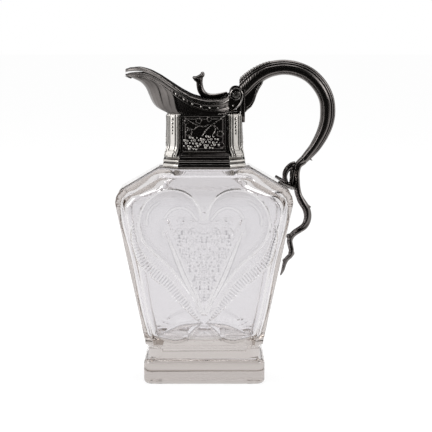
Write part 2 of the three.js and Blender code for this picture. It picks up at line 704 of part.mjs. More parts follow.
function lidKnuckle() {
  const { x, z, barrel, lidHalf } = hinge;
  const clear = (place) => lidTopAt(place) + seatGap;
  const { start, thickness, half } = strap;
  const rear = clear(lid.rear);
  const outline = [
    [start, clear(start)], [lid.rear, rear], [x - 2.4, rear], [x - 2.4, rear + thickness + 0.8],
    [lid.rear, rear + thickness], [start, clear(start) + thickness],
  ];
  const leaf = plateFromOutline(outline, -half, half);
  return cut(join(hingeCylinder(barrel, -lidHalf, lidHalf), leaf), boreTool());
}

function hingePin() {
  const end = hinge.scrollEnd + 0.5 + runningGap;
  const { pin } = hinge;
  const head = pin * 1.9;
  const profile = [
    [0, -end - 1.3], [head * 0.5, -end - 1.2], [head, -end - 0.7], [head, -end], [pin, -end],
    [pin, end], [head, end], [head, end + 0.7], [head * 0.5, end + 1.2], [0, end + 1.3],
  ].map(([r, y]) => new THREE.Vector2(r, y));
  return new THREE.LatheGeometry(profile, 20).translate(hinge.x, 0, hinge.z);
}

function thumbpiece() {
  const { lobe, x, z, spread, drop } = thumbHead;
  const stalk = branch(thumbStem, 18, roundSection(7));
  const rounded = (size, across) => new THREE.SphereGeometry(size, 8, 6).scale(1, across, 0.92);
  const right = rounded(lobe, 1.5).translate(x + 0.6, 0, z);
  const left = rounded(lobe * 0.86, 1.6).translate(x - spread, 0, z - drop);
  const web = rounded(lobe * 0.8, 1.3).scale(1.3, 1, 0.8).translate(x - spread / 2, 0, z - drop * 0.75);
  return cut(join(stalk, right, left, web), lidSheet().translate(0, 0, seatGap));
}

// Handle
function handleBackPlate() {
  const { half, low, high, thickness } = backPlate;
  const x0 = sleeve.half + seatGap;
  const point2 = (y, z) => new THREE.Vector2(y, z);
  const shape = new THREE.Shape([
    point2(-half * 0.55, low), point2(half * 0.55, low), point2(half, low + 5), point2(half, high - 4),
    point2(half - 3, high), point2(-half + 3, high), point2(-half, high - 4), point2(-half, low + 5),
  ]);
  const geometry = new THREE.ExtrudeGeometry(shape, { depth: thickness, bevelEnabled: false });
  return geometry.rotateY(Math.PI / 2).rotateX(Math.PI / 2).translate(x0, 0, 0);
}

const rootFace = sleeve.half + 2 * seatGap + backPlate.thickness;
const bowTop = Math.max(...bowLine.map(([, z]) => z));

// Everything in front of the face that the handle is soldered on
const beforeRoot = () => box(0, rootFace, -sleeve.half, sleeve.half, 0, bowTop);

const handleBow = (extra = 0) => branch(bowLine, 36, bowSection, extra);

function handleRootLeaf() {
  const { half, start, bevel, line } = rootLeaf;
  const heart = bowLine.slice(0, 2).map(([x, z]) => [Math.max(x, rootFace), z]).reverse();
  const outline = [[rootFace, backPlate.low + start], ...line, ...heart];
  const body = plateFromOutline(outline, -half, half, bevel);
  return cut(body, beforeRoot(), handleBow(seatGap));
}

// A row of beads, swelling and shrinking along a rail, on each outer shoulder of the bow's root
function crestRow(side) {
  const { count, first, last, bead, neck, across, out } = crest;
  const steps = 200;
  const stepsPerBead = 4;
  const frames = branchFrames(bowLine, steps);
  const section = roundSection(6);
  const rings = Array.from({ length: count * stepsPerBead + 1 }, (_, i) => {
    const share = first + (i / (count * stepsPerBead)) * (last - first);
    const { centre, outward, thick, wide } = frames[Math.round(share * steps)];
    const swell = Math.sin(((i % stepsPerBead) / stepsPerBead) * Math.PI);
    const radius = neck + (bead - neck) * swell;
    return section.map(([a, b]) => {
      const at = centre.clone().addScaledVector(outward, thick * out + a * radius);
      return at.setY(side * wide * across + b * radius);
    });
  });
  return skin(rings);
}

// The tail starts a seat gap below the cut end of the bow
function handleTail(extra = 0) {
  const end = branchFrames(bowLine, 1).at(-1);
  const forward = point(end.outward.z, 0, -end.outward.x);
  const start = end.centre.clone().addScaledVector(forward, seatGap - extra);
  const second = start.clone().addScaledVector(forward, 1.5);
  const thick = bowLine.at(-1)[2];
  const line = [[start.x, start.z, thick], [second.x, second.z, thick], ...tailLine];
  const body = branch(line, 50, roundSection(7), extra);
  if (extra) return body;
  const spike = new THREE.ConeGeometry(thorn.radius, thorn.length, 6).rotateZ(thorn.turn - Math.PI / 2);
  return join(body, spike.rotateX(Math.PI / 2).translate(thorn.x, 0, thorn.z));
}

function handleTendril() {
  const strands = [tendrilLine, tendrilPartner].map((line) => branch(line, 12, roundSection(7)));
  return cut(join(...strands), handleTail(seatGap));
}

// A pointed leaf that lies on the glass shoulder and turns away from the handle's plane
function shoulderLeafAt(side) {
  const { length, half, thickness, spread, baseX, offset } = shoulderLeaf;
  const shape = new THREE.Shape([
    [0, -half * 0.4], [length * 0.3, -half], [length * 0.7, -half * 0.62], [length, 0],
    [length * 0.7, half * 0.62], [length * 0.3, half], [0, half * 0.4],
  ].map(([x, y]) => new THREE.Vector2(x, y)));
  const leaf = new THREE.ExtrudeGeometry(shape, { depth: thickness, bevelEnabled: false });
  const slope = Math.atan2(1, slopeRun);
  leaf.rotateZ(Math.PI - side * spread * Math.PI / 180).rotateY(slope);
  const rise = (slopeStart.x - baseX) / slopeRun;
  leaf.translate(baseX, side * offset, rise - glassTop.rise + seatGap);
  return leaf;
}

function onGlass(name, geometry, finish) {
  const mesh = place(name, geometry, finish);
  mesh.position.z = glassHeight;
  return mesh;
}

onGlass('neck_plaster', neckPlaster(), 'plaster');
onGlass('base_collar', baseCollar(), 'metal');
onGlass('neck_sleeve', neckSleeve(), 'metal');
const cantDistance = (sleeve.half + sleeve.front) / Math.SQRT2 + seatGap;
['front_right', 'rear_right', 'rear_left', 'front_left'].forEach((corner, i) => {
  const mesh = onGlass(`pilaster_${corner}`, pilasterStrip(), 'metal');
  faceOn(mesh, Math.PI / 4 + (i * Math.PI) / 2, cantDistance, glassHeight + sleeve.flareTop);
});
const panelFoot = sleeve.flareTop - panel.margin;
['front', 'handle_side', 'back', 'spout_side'].forEach((name, i) => {
  const top = name === 'handle_side' ? backPlate.low - seatGap : sleeve.top - panel.margin;
  const mesh = onGlass(`vine_panel_${name}`, vinePanel(top - panelFoot), 'metal');
  faceOn(mesh, (i * Math.PI) / 2, sleeve.half + seatGap, glassHeight + panelFoot);
});
onGlass('spout_throat', spoutThroat(), 'metal');
onGlass('rim_band', rimBand(), 'metal');
onGlass('hinge_scroll_near', hingeScroll(-1), 'metal');
onGlass('hinge_scroll_far', hingeScroll(1), 'metal');
onGlass('hinge_frame', hingeFrame(), 'metal');
onGlass('lid_knuckle', lidKnuckle(), 'metal');
onGlass('hinge_pin', hingePin(), 'metal');
onGlass('lid', lidSheet(), 'metal');
onGlass('thumbpiece', thumbpiece(), 'metal');
onGlass('handle_back_plate', handleBackPlate(), 'metal');
onGlass('handle_bow', cut(handleBow(), beforeRoot()), 'metal');
onGlass('handle_root_leaf', handleRootLeaf(), 'metal');
onGlass('crest_row_near', crestRow(-1), 'metal');
onGlass('crest_row_far', crestRow(1), 'metal');
onGlass('handle_tail', handleTail(), 'metal');
onGlass('handle_tendril', handleTendril(), 'metal');
onGlass('shoulder_leaf_near', shoulderLeafAt(-1), 'metal');
onGlass('shoulder_leaf_far', shoulderLeafAt(1), 'metal');

export default jug;
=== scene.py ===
import math

import bmesh
import bpy
import numpy as np
from mathutils import Matrix, Vector


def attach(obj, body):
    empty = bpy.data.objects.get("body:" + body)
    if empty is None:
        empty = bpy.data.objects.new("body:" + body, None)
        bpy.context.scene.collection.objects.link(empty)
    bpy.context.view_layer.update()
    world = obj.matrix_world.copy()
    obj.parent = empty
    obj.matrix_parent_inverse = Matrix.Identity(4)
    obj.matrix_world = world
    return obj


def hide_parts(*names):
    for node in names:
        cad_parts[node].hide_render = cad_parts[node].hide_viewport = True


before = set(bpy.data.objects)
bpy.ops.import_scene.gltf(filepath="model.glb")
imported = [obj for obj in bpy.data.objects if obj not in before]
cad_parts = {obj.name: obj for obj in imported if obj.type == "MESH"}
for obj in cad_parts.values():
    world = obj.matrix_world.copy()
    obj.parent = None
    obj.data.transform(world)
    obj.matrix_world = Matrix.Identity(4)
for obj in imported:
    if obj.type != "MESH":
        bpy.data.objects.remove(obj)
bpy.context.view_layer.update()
mm = 0.001


# Mesh tools, with every size in millimetres in the frame of the solids

def makeObject(name, verts, faces, material=None):
    mesh = bpy.data.meshes.new(name)
    mesh.from_pydata([tuple(v) for v in np.asarray(verts, float) * mm], [], [tuple(f) for f in faces])
    mesh.validate()
    tidy = bmesh.new()
    tidy.from_mesh(mesh)
    bmesh.ops.remove_doubles(tidy, verts=tidy.verts, dist=1e-7)
    bmesh.ops.recalc_face_normals(tidy, faces=tidy.faces)
    tidy.to_mesh(mesh)
    tidy.free()
    obj = bpy.data.objects.new(name, mesh)
    bpy.context.scene.collection.objects.link(obj)
    if material:
        obj.data.materials.append(material)
    return obj


def finishPiece(obj, nodeName, sharpDegrees, body="root"):
    mesh = obj.data
    mesh.polygons.foreach_set("use_smooth", [True] * len(mesh.polygons))
    mesh.set_sharp_from_angle(angle=math.radians(sharpDegrees))
    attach(obj, body)
    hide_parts(nodeName)
    return obj


def skinRings(rings, joined=False):
    # rings of equally many points become one closed skin; joined makes a ring of rings, without end caps
    rings = [np.asarray(r, float) for r in rings]
    count = len(rings[0])
    verts = np.concatenate(rings)
    faces = []
    bands = len(rings) if joined else len(rings) - 1
    for k in range(bands):
        low, high = k * count, ((k + 1) % len(rings)) * count
        for i in range(count):
            j = (i + 1) % count
            faces.append((low + i, low + j, high + j, high + i))
    if not joined:
        faces.append(tuple(range(count))[::-1])
        faces.append(tuple(range((len(rings) - 1) * count, len(rings) * count)))
    return verts, faces


def gridSpots(across, up):
    return np.stack(np.meshgrid(across, up), axis=-1).reshape(-1, 2)


def closedSheet(verts, wide, axis, level):
    # a sheet of rows of wide points, closed by walls and a flat back at one level of an axis
    index = np.arange(len(verts)).reshape(-1, wide)
    corners = [index[:-1, :-1], index[:-1, 1:], index[1:, 1:], index[1:, :-1]]
    faces = np.stack(corners, axis=-1).reshape(-1, 4).tolist()
    border = np.concatenate([index[0, :-1], index[:-1, -1], index[-1, :0:-1], index[:0:-1, 0]])
    back = verts[border].copy()
    back[:, axis] = level
    base, count = len(verts), len(border)
    faces += [[border[(i + 1) % count], border[i], base + i, base + (i + 1) % count] for i in range(count)]
    faces.append([base + i for i in range(count)][::-1])
    return np.vstack([verts, back]), faces


def fullTurn(count):
    return np.linspace(0, 2 * math.pi, count, endpoint=False)


def roundTop(reach):
    # height of a half circle of radius 1 at a distance from its middle
    return np.sqrt(np.clip(1 - reach ** 2, 0, None))


def cornerRing(halfX, halfY, corner, z, steps=1):
    ring = []
    for signX, signY, start in ((1, 1, 0), (-1, 1, 1), (-1, -1, 2), (1, -1, 3)):
        for i in range(steps + 1):
            angle = (start + i / steps) * math.pi / 2
            ring.append((signX * (halfX - corner) + corner * math.cos(angle),
                         signY * (halfY - corner) + corner * math.sin(angle), z))
    return np.array(ring)


def smoothLine(line, place):
    # a line through (place, value) pairs that never swings past them
    xs = np.array([p[0] for p in line], float)
    ys = np.array([p[1] for p in line], float)
    place = np.clip(np.asarray(place, float), xs[0], xs[-1])
    chord = np.diff(ys) / np.diff(xs)
    slope = np.concatenate([[chord[0]], np.zeros(len(xs) - 2), [chord[-1]]])
    for i in range(1, len(xs) - 1):
        a, b = chord[i - 1], chord[i]
        slope[i] = 0 if a * b <= 0 else 2 * a * b / (a + b)
    k = np.clip(np.searchsorted(xs, place) - 1, 0, len(xs) - 2)
    span = xs[k + 1] - xs[k]
    t = (place - xs[k]) / span
    rise = (3 - 2 * t) * t * t
    return (ys[k] * (1 - rise) + ys[k + 1] * rise
            + span * t * (1 - t) * ((1 - t) * slope[k] - t * slope[k + 1]))


def splineAt(points, shares):
    # a smooth curve through the points, at shares of their count
    pts = np.asarray(points, float)
    last = len(pts) - 1
    place = np.clip(np.asarray(shares, float), 0, 1) * last
    seg = np.minimum(place.astype(int), last - 1)
    w = (place - seg)[:, None]
    padded = np.concatenate([[2 * pts[0] - pts[1]], pts, [2 * pts[-1] - pts[-2]]])
    p0, p1, p2, p3 = (padded[seg + k] for k in range(4))
    d0, d1, d2 = (np.linalg.norm(b - a, axis=1)[:, None] ** 0.5 for a, b in ((p0, p1), (p1, p2), (p2, p3)))
    d1 = np.where(d1 < 1e-4, 1.0, d1)
    d0 = np.where(d0 < 1e-4, d1, d0)
    d2 = np.where(d2 < 1e-4, d1, d2)
    t1 = ((p1 - p0) / d0 - (p2 - p0) / (d0 + d1) + (p2 - p1) / d1) * d1
    t2 = ((p2 - p1) / d1 - (p3 - p1) / (d1 + d2) + (p3 - p2) / d2) * d1
    return p1 + t1 * w + (-3 * p1 + 3 * p2 - 2 * t1 - t2) * w ** 2 + (2 * p1 - 2 * p2 + t1 + t2) * w ** 3


def stepLengths(line):
    return np.linalg.norm(np.diff(line, axis=0), axis=1)


def runAlong(line):
    return np.concatenate([[0], np.cumsum(stepLengths(line))])


def evenAlong(points, shares, samples=600):
    # points of a smooth curve at shares of its length
    fine = splineAt(points, np.linspace(0, 1, samples))
    run = runAlong(fine)
    want = np.asarray(shares) * run[-1]
    return np.column_stack([np.interp(want, run, fine[:, k]) for k in range(fine.shape[1])])


def alongCurve(spots, line):
    # distance to a polyline, and the length of the line up to the nearest place
    start, run = line[:-1], np.diff(line, axis=0)
    length, before = stepLengths(line), runAlong(line)
    best = np.full(len(spots), 1e9)
    place = np.zeros(len(spots))
    for k in range(len(run)):
        t = np.clip(((spots - start[k]) @ run[k]) / (length[k] ** 2), 0, 1)
        gap = np.linalg.norm(spots - start[k] - t[:, None] * run[k], axis=1)
        near = gap < best
        best = np.where(near, gap, best)
        place = np.where(near, before[k] + t * length[k], place)
    return best, place


def insideLoop(spots, loop):
    hits = np.zeros(len(spots), bool)
    for (x0, z0), (x1, z1) in zip(loop, np.roll(loop, -1, axis=0)):
        crosses = (z0 > spots[:, 1]) != (z1 > spots[:, 1])
        height = z1 - z0 if z1 != z0 else 1e-9
        hits ^= crosses & (spots[:, 0] < (x1 - x0) * (spots[:, 1] - z0) / height + x0)
    return hits


def closedSpline(points, count):
    ring = points[-2:] + points + points[:2]
    start, end = 2 / (len(ring) - 1), (len(ring) - 2) / (len(ring) - 1)
    return splineAt(ring, np.linspace(start, end, count, endpoint=False))


def offsetLoop(loop, distance):
    run = np.roll(loop, -1, axis=0) - np.roll(loop, 1, axis=0)
    out = np.column_stack([run[:, 1], -run[:, 0]])
    return loop + out / np.linalg.norm(out, axis=1)[:, None] * distance


def applyModifiers(obj):
    bpy.context.view_layer.update()
    graph = bpy.context.evaluated_depsgraph_get()
    mesh = bpy.data.meshes.new_from_object(obj.evaluated_get(graph))
    obj.modifiers.clear()
    old = obj.data
    obj.data = mesh
    bpy.data.meshes.remove(old)
    return obj


def booleanWith(obj, tool, operation="DIFFERENCE"):
    step = obj.modifiers.new("cut", "BOOLEAN")
    step.operation = operation
    step.solver = "MANIFOLD"
    step.object = tool
    applyModifiers(obj)
    bpy.data.objects.remove(tool)
    return obj


def softenEdges(obj, width, segments=2, degrees=22):
    step = obj.modifiers.new("edge", "BEVEL")
    step.width = width * mm
    step.segments = segments
    step.angle_limit = math.radians(degrees)
    return applyModifiers(obj)


def fuseSmooth(obj, voxel, rounds):
    # parts that run through each other become one casting with soft inner corners
    step = obj.modifiers.new("fuse", "REMESH")
    step.mode = "VOXEL"
    step.voxel_size = voxel * mm
    soften = obj.modifiers.new("soften", "SMOOTH")
    soften.factor = 0.5
    soften.iterations = rounds
    return applyModifiers(obj)


def joinObjects(first, others):
    whole = bmesh.new()
    whole.from_mesh(first.data)
    slots = list(first.data.materials)
    for obj in others:
        start = len(whole.faces)
        whole.from_mesh(obj.data)
        material = obj.data.materials[0]
        if material not in slots:
            slots.append(material)
        whole.faces.ensure_lookup_table()
        for face in whole.faces[start:]:
            face.material_index = slots.index(material)
        mesh = obj.data
        bpy.data.objects.remove(obj)
        bpy.data.meshes.remove(mesh)
    whole.to_mesh(first.data)
    whole.free()
    first.data.materials.clear()
    for material in slots:
        first.data.materials.append(material)
    return first


def ball(centre, radii, material, around=20, turn=0.0):
    rings = []
    for polar in np.linspace(0.02, math.pi - 0.02, around // 2 + 1):
        angles = fullTurn(around)
        ring = np.column_stack([math.sin(polar) * np.cos(angles), math.sin(polar) * np.sin(angles),
                                np.full(around, math.cos(polar))]) * radii
        x, z = ring[:, 0].copy(), ring[:, 2].copy()
        ring[:, 0] = x * math.cos(turn) + z * math.sin(turn)
        ring[:, 2] = z * math.cos(turn) - x * math.sin(turn)
        rings.append(ring + centre)
    return makeObject("ball", *skinRings(rings), material)


def sweptTube(points, radiusAt, material, count, around, squash=1.0):
    # points run in three dimensions; radiusAt gives the radius at each share of the way
    share = np.linspace(0, 1, count)
    centre = splineAt(points, share)
    forward = np.gradient(centre, axis=0)
    forward /= np.linalg.norm(forward, axis=1)[:, None]
    up = np.array([0, 1, 0]) if abs(forward[:, 1]).max() < 0.9 else np.array([0, 0, 1])
    side = np.cross(forward, up)
    side /= np.linalg.norm(side, axis=1)[:, None]
    other = np.cross(side, forward)
    angles = fullTurn(around)
    rings = []
    for i in range(count):
        section = np.outer(np.cos(angles), side[i]) + squash * np.outer(np.sin(angles), other[i])
        rings.append(centre[i] + radiusAt(share[i]) * section)
    return makeObject("tube", *skinRings(rings), material)


# Materials

def nodeMaterial(name):
    material = bpy.data.materials.new(name)
    material.use_nodes = True
    tree = material.node_tree
    return material, tree, tree.nodes["Principled BSDF"]


def addNode(tree, kind, **values):
    node = tree.nodes.new(kind)
    for key, value in values.items():
        if hasattr(node, key):
            setattr(node, key, value)
        else:
            node.inputs[key.replace("_", " ")].default_value = value
    return node


def surfaceNoise(tree, scale, detail):
    place = addNode(tree, "ShaderNodeTexCoord")
    noise = addNode(tree, "ShaderNodeTexNoise", Scale=scale, Detail=detail)
    tree.links.new(place.outputs["Object"], noise.inputs["Vector"])
    return noise.outputs["Fac"]


def mapValue(tree, value, **limits):
    node = addNode(tree, "ShaderNodeMapRange", **limits)
    tree.links.new(value, node.inputs["Value"])
    return node.outputs["Result"]


def mixColours(tree, factor, first, second):
    # each of the two is a plain colour or another node's output
    mix = addNode(tree, "ShaderNodeMix", data_type="RGBA")
    for socket, colour in (("A", first), ("B", second)):
        if isinstance(colour, tuple):
            mix.inputs[socket].default_value = colour
        else:
            tree.links.new(colour, mix.inputs[socket])
    tree.links.new(factor, mix.inputs["Factor"])
    return mix.outputs["Result"]


def addBump(tree, shader, height, look, kind):
    bump = addNode(tree, "ShaderNodeBump", Strength=look[kind + "Height"], Distance=look[kind + "Distance"])
    tree.links.new(height, bump.inputs["Height"])
    tree.links.new(bump.outputs["Normal"], shader.inputs["Normal"])


glassLook = {
    "tint": (0.89, 0.885, 0.905, 1), "roughness": 0.015, "ior": 1.5,
    "waveScale": 22.0, "waveHeight": 0.035, "waveDistance": 0.002,
    "mattTint": (1.0, 1.0, 1.0, 1), "paintedShadeTint": (0.14, 0.14, 0.16, 1), "mattTransmission": 0.9,
    "depthColour": (0.50, 0.43, 0.37, 1), "depthDensity": 13.0,
}


def glassMaterial():
    material, tree, shader = nodeMaterial("cutGlass")
    link = tree.links.new
    shader.inputs["Roughness"].default_value = glassLook["roughness"]
    shader.inputs["IOR"].default_value = glassLook["ior"]
    addBump(tree, shader, surfaceNoise(tree, glassLook["waveScale"], 1.0), glassLook, "wave")
    mark = addNode(tree, "ShaderNodeAttribute", attribute_name="frostAndPaintedShade").outputs["Fac"]
    light = mixColours(tree, mapValue(tree, mark), glassLook["tint"], glassLook["mattTint"])
    # where the mark is below nothing, the glass colour is darkened towards the dark tint, a painted shade
    clear = mapValue(tree, mark, From_Min=-1.0, From_Max=0.0, To_Min=1.0, To_Max=0.0)
    link(mixColours(tree, clear, light, glassLook["paintedShadeTint"]), shader.inputs["Base Color"])
    through = mapValue(tree, mark, To_Min=1.0, To_Max=glassLook["mattTransmission"])
    link(through, shader.inputs["Transmission Weight"])
    depth = addNode(tree, "ShaderNodeVolumeAbsorption", Color=glassLook["depthColour"],
                    Density=glassLook["depthDensity"])
    link(depth.outputs["Volume"], tree.nodes["Material Output"].inputs["Volume"])
    return material


silverLook = {
    "aged": (0.205, 0.188, 0.18, 1), "polished": (0.74, 0.71, 0.67, 1), "rubbed": (0.22, 0.205, 0.195, 1),
    "bright": (0.80, 0.77, 0.73, 1), "dark": (0.02, 0.017, 0.015, 1),
    "tarnish": 0.9, "polishedTarnish": 0.75,
    "roughLow": 0.15, "roughHigh": 0.33, "grainScale": 420.0, "grainHeight": 0.06, "grainDistance": 0.0006,
    "stainScale": 60.0, "stainLow": 0.35, "stainHigh": 0.7, "stainShade": 0.62,
    "hollowReach": 0.0035, "hollowLow": 0.45, "hollowHigh": 0.95, "edgeLow": 0.53, "edgeHigh": 0.62,
}


def silverMaterial(name, colour, tarnish):
    # slow stains, dark tarnish in the hollows, and bright metal where hands and cloths wear the edges
    look = silverLook
    material, tree, shader = nodeMaterial(name)
    link = tree.links.new
    shader.inputs["Metallic"].default_value = 1.0
    stain = surfaceNoise(tree, look["stainScale"], 5.0)
    patches = mapValue(tree, stain, From_Min=look["stainLow"], From_Max=look["stainHigh"])
    tone = mixColours(tree, patches, colour, tuple(c * look["stainShade"] for c in colour[:3]) + (1,))
    shaded = addNode(tree, "ShaderNodeAmbientOcclusion", samples=6, Distance=look["hollowReach"])
    depth = mapValue(tree, shaded.outputs["AO"], From_Min=look["hollowLow"], From_Max=look["hollowHigh"],
                     To_Min=tarnish, To_Max=0.0)
    tarnished = mixColours(tree, depth, tone, look["dark"])
    worn = addNode(tree, "ShaderNodeNewGeometry").outputs["Pointiness"]
    edge = mapValue(tree, worn, From_Min=look["edgeLow"], From_Max=look["edgeHigh"])
    link(mixColours(tree, edge, tarnished, look["bright"]), shader.inputs["Base Color"])
    link(mapValue(tree, stain, To_Min=look["roughLow"], To_Max=look["roughHigh"]), shader.inputs["Roughness"])
    addBump(tree, shader, surfaceNoise(tree, look["grainScale"], 3.0), look, "grain")
    return material


plasterLook = {
    "dry": (0.90, 0.87, 0.80, 1), "pale": (0.95, 0.93, 0.88, 1), "roughness": 0.85,
    "grainScale": 160.0, "grainHeight": 0.4, "grainDistance": 0.0004,
}


def plasterMaterial():
    material, tree, shader = nodeMaterial("neckPlaster")
    shader.inputs["Roughness"].default_value = plasterLook["roughness"]
    grain = surfaceNoise(tree, plasterLook["grainScale"], 6.0)
    tone = mixColours(tree, grain, plasterLook["dry"], plasterLook["pale"])
    tree.links.new(tone, shader.inputs["Base Color"])
    addBump(tree, shader, grain, plasterLook, "grain")
    return material


cutGlass = glassMaterial()
agedSilver = silverMaterial("agedSilver", silverLook["aged"], silverLook["tarnish"])
# polished silver is a brighter copy of the same silver: cleaned metal, and in part a painted highlight on the
# canted corners, pilasters and beads
polishedSheenSilver = silverMaterial("polishedSheenSilver", silverLook["polished"], silverLook["polishedTarnish"])
rubbedSilver = silverMaterial("rubbedSilver", silverLook["rubbed"], silverLook["tarnish"])
neckPlaster = plasterMaterial()

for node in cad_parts.values():
    node.data.materials.clear()
    node.data.materials.append(agedSilver)
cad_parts["hinge_pin"].data.materials[0] = polishedSheenSilver
print("materials ready")


# Glass body

glass = {
    "footHalfX": 50.3, "footHalfY": 41.0, "footHeight": 20.8, "footCorner": 7.0, "footEdge": 3.6,
    "stemInset": 3.9, "stemCorner": 11.0, "stemFlare": 3.0, "overlap": 0.6, "faceY": 37.0, "bevel": 6.6,
    "bottom": 32.0, "bottomHalf": 48.8, "shoulderHalf": 74.0, "shoulder": 150.7, "cutWidth": 3.3,
    "cutHeight": 9.4, "cutBulge": 0.9, "top": 179.0, "topHalf": 38.0, "edgeRound": 0.5, "ringHalf": 35.3,
    "ringFront": 24.6, "ringHeight": 7.3, "ringEdge": 1.4, "ringRound": 0.3, "neckHalf": 27.2,
    "neckFront": 18.0, "neckTop": 214.0, "neckRoot": 3.0, "neckEdge": 1.0,
}
slopeX = glass["shoulderHalf"] - glass["cutWidth"]
slopeZ = glass["shoulder"] + glass["cutHeight"]
slopeRun = (slopeX - glass["topHalf"]) / (glass["top"] - slopeZ)


def slabHalfAt(z):
    share = (z - glass["bottom"]) / (glass["shoulder"] - glass["bottom"])
    return glass["bottomHalf"] + share * (glass["shoulderHalf"] - glass["bottomHalf"])


def slopeHalfAt(z):
    return slopeX - (z - slopeZ) * slopeRun


def slabOutline():
    bulge = (glass["shoulderHalf"] - glass["cutBulge"], glass["shoulder"] + 0.56 * glass["cutHeight"])
    right = [(glass["bottomHalf"], glass["bottom"]), (glass["shoulderHalf"], glass["shoulder"]), bulge,
             (slopeX, slopeZ), (glass["topHalf"], glass["top"])]
    return right + [(-x, z) for x, z in right[::-1]]


def insetOutline(outline, distances):
    edges = []
    for i, (x0, z0) in enumerate(outline):
        x1, z1 = outline[(i + 1) % len(outline)]
        length = math.hypot(x1 - x0, z1 - z0)
        nx, nz = -(z1 - z0) / length, (x1 - x0) / length
        edges.append((nx, nz, nx * x0 + nz * z0 + distances[i]))
    corners = []
    for i, (bx, bz, bLevel) in enumerate(edges):
        ax, az, aLevel = edges[i - 1]
        det = ax * bz - az * bx
        corners.append(((aLevel * bz - bLevel * az) / det, (ax * bLevel - bx * aLevel) / det))
    return corners


def glassSlab():
    outline = slabOutline()
    face = insetOutline(outline, [glass["bevel"]] * (len(outline) - 1) + [0])
    depth = glass["faceY"]
    edge = depth - glass["bevel"]
    rings = [[(x, y, z) for x, z in points]
             for points, y in ((face, -depth), (outline, -edge), (outline, edge), (face, depth))]
    return softenEdges(makeObject("slab", *skinRings(rings)), glass["edgeRound"])


def glassFoot():
    edge, height = glass["footEdge"], glass["footHeight"]
    halfX, halfY, corner = glass["footHalfX"], glass["footHalfY"], glass["footCorner"]
    arc = [(edge * (1 - math.sin(a)), edge * (1 - math.cos(a))) for a in np.linspace(math.pi / 2, 0, 7)]
    levels = arc + [(height - z, inset) for z, inset in arc[::-1]]
    rings = [cornerRing(halfX - inset, halfY - inset, corner - inset * 0.5, z, 8) for z, inset in levels]
    return makeObject("foot", *skinRings(rings))


def glassStem():
    # a waist between foot and slab, flared to meet the slab
    halfX = glass["footHalfX"] - glass["stemInset"]
    halfY = glass["faceY"] - glass["stemFlare"]
    corner = glass["stemCorner"]
    low, high = glass["footHeight"] - glass["footEdge"], glass["bottom"] - glass["stemFlare"]
    rings = [cornerRing(halfX, halfY, corner, low), cornerRing(halfX, halfY, corner, high),
             cornerRing(glass["bottomHalf"], glass["faceY"], corner, glass["bottom"] + glass["overlap"])]
    return softenEdges(makeObject("stem", *skinRings(rings)), glass["edgeRound"])


def glassCollarRing():
    half, corner = glass["ringHalf"], glass["ringHalf"] - glass["ringFront"]
    height, edge = glass["ringHeight"], glass["ringEdge"]
    # height from the top of the glass, and how far in from the widest line
    levels = [(-height - 1, 0.6), (-height, 0.6), (-height + 0.3 * edge, 0.2), (-height + edge, 0),
              (-edge, 0), (-0.3 * edge, 0.2 * edge), (0, edge * 0.6)]
    rings = [cornerRing(half - inset, half - inset, corner, glass["top"] + z) for z, inset in levels]
    return softenEdges(makeObject("ring", *skinRings(rings)), glass["ringRound"])


def glassNeck():
    half, corner, top = glass["neckHalf"], glass["neckHalf"] - glass["neckFront"], glass["neckTop"]
    narrow = half - glass["neckEdge"]
    rings = [cornerRing(half, half, corner, glass["top"] - glass["neckRoot"]),
             cornerRing(half, half, corner, top - glass["neckEdge"]), cornerRing(narrow, narrow, corner, top)]
    return makeObject("neck", *skinRings(rings))


hollow = {"side": 6.5, "face": 8.4, "slope": 15.5, "floor": 34.5, "bore": 23.4, "boreCorner": 9.0}


def glassHollow():
    side, slope, bore, corner = hollow["side"], hollow["slope"], hollow["bore"], hollow["boreCorner"]
    depth = glass["faceY"] - hollow["face"]
    floor, shoulder = hollow["floor"], glass["shoulder"]
    # from the floor up: height, half width, half depth and corner radius
    levels = [
        (floor, slabHalfAt(floor) - side - 7, depth - 8, 7),
        (floor + 1.6, slabHalfAt(floor) - side - 2.6, depth - 3, 7),
        (floor + 6, slabHalfAt(floor + 6) - side, depth, 7),
        (100, slabHalfAt(100) - side, depth, 7),
        (shoulder - 4, slabHalfAt(shoulder - 4) - side, depth, 8),
        (shoulder + 5, slabHalfAt(shoulder) - side - 4.5, depth - 1.2, 11),
        (slopeZ, slopeHalfAt(slopeZ) - slope, depth - 2.6, 14),
        (166, slopeHalfAt(166) - slope, depth - 4.8, 18),
        (169.5, slopeHalfAt(169.5) - slope, depth - 5.2, 16),
        (173.5, bore + 4, bore + 0.1, corner + 2),
        (178, bore + 0.2, bore, corner), (182, bore, bore, corner),
        (glass["neckTop"] + 1, bore, bore, corner),
    ]
    heights = [level[0] for level in levels]
    fine = np.unique(np.concatenate([np.linspace(a, b, 8) for a, b in zip(heights, heights[1:])]))
    rings = []
    for z in fine:
        halfX, halfY, rounding = (float(smoothLine([(lv[0], lv[k]) for lv in levels], z)) for k in (1, 2, 3))
        rings.append(cornerRing(halfX, halfY, min(rounding, halfX, halfY), z, 10))
    return makeObject("hollow", *skinRings(rings))


# Engraving: a heart of two polished lobes, a bunch of grapes, ladder ribbons and leaves at the foot

engraving = {
    "step": 0.5, "backStep": 0.85, "clear": 0.03, "backTone": 0.35, "halfWidth": 62.0, "low": 33.4,
    "high": 165.0, "toneReach": 2.2, "smallFace": 2.0,
}


def groove(gap, half, deep):
    return deep * np.clip(1 - gap / half, 0, None) - engraving["clear"] * (gap >= half)


ovalCut = {"halfX": 8.3, "halfZ": 10.5, "z": 33, "least": 0.2, "depth": 0.9}


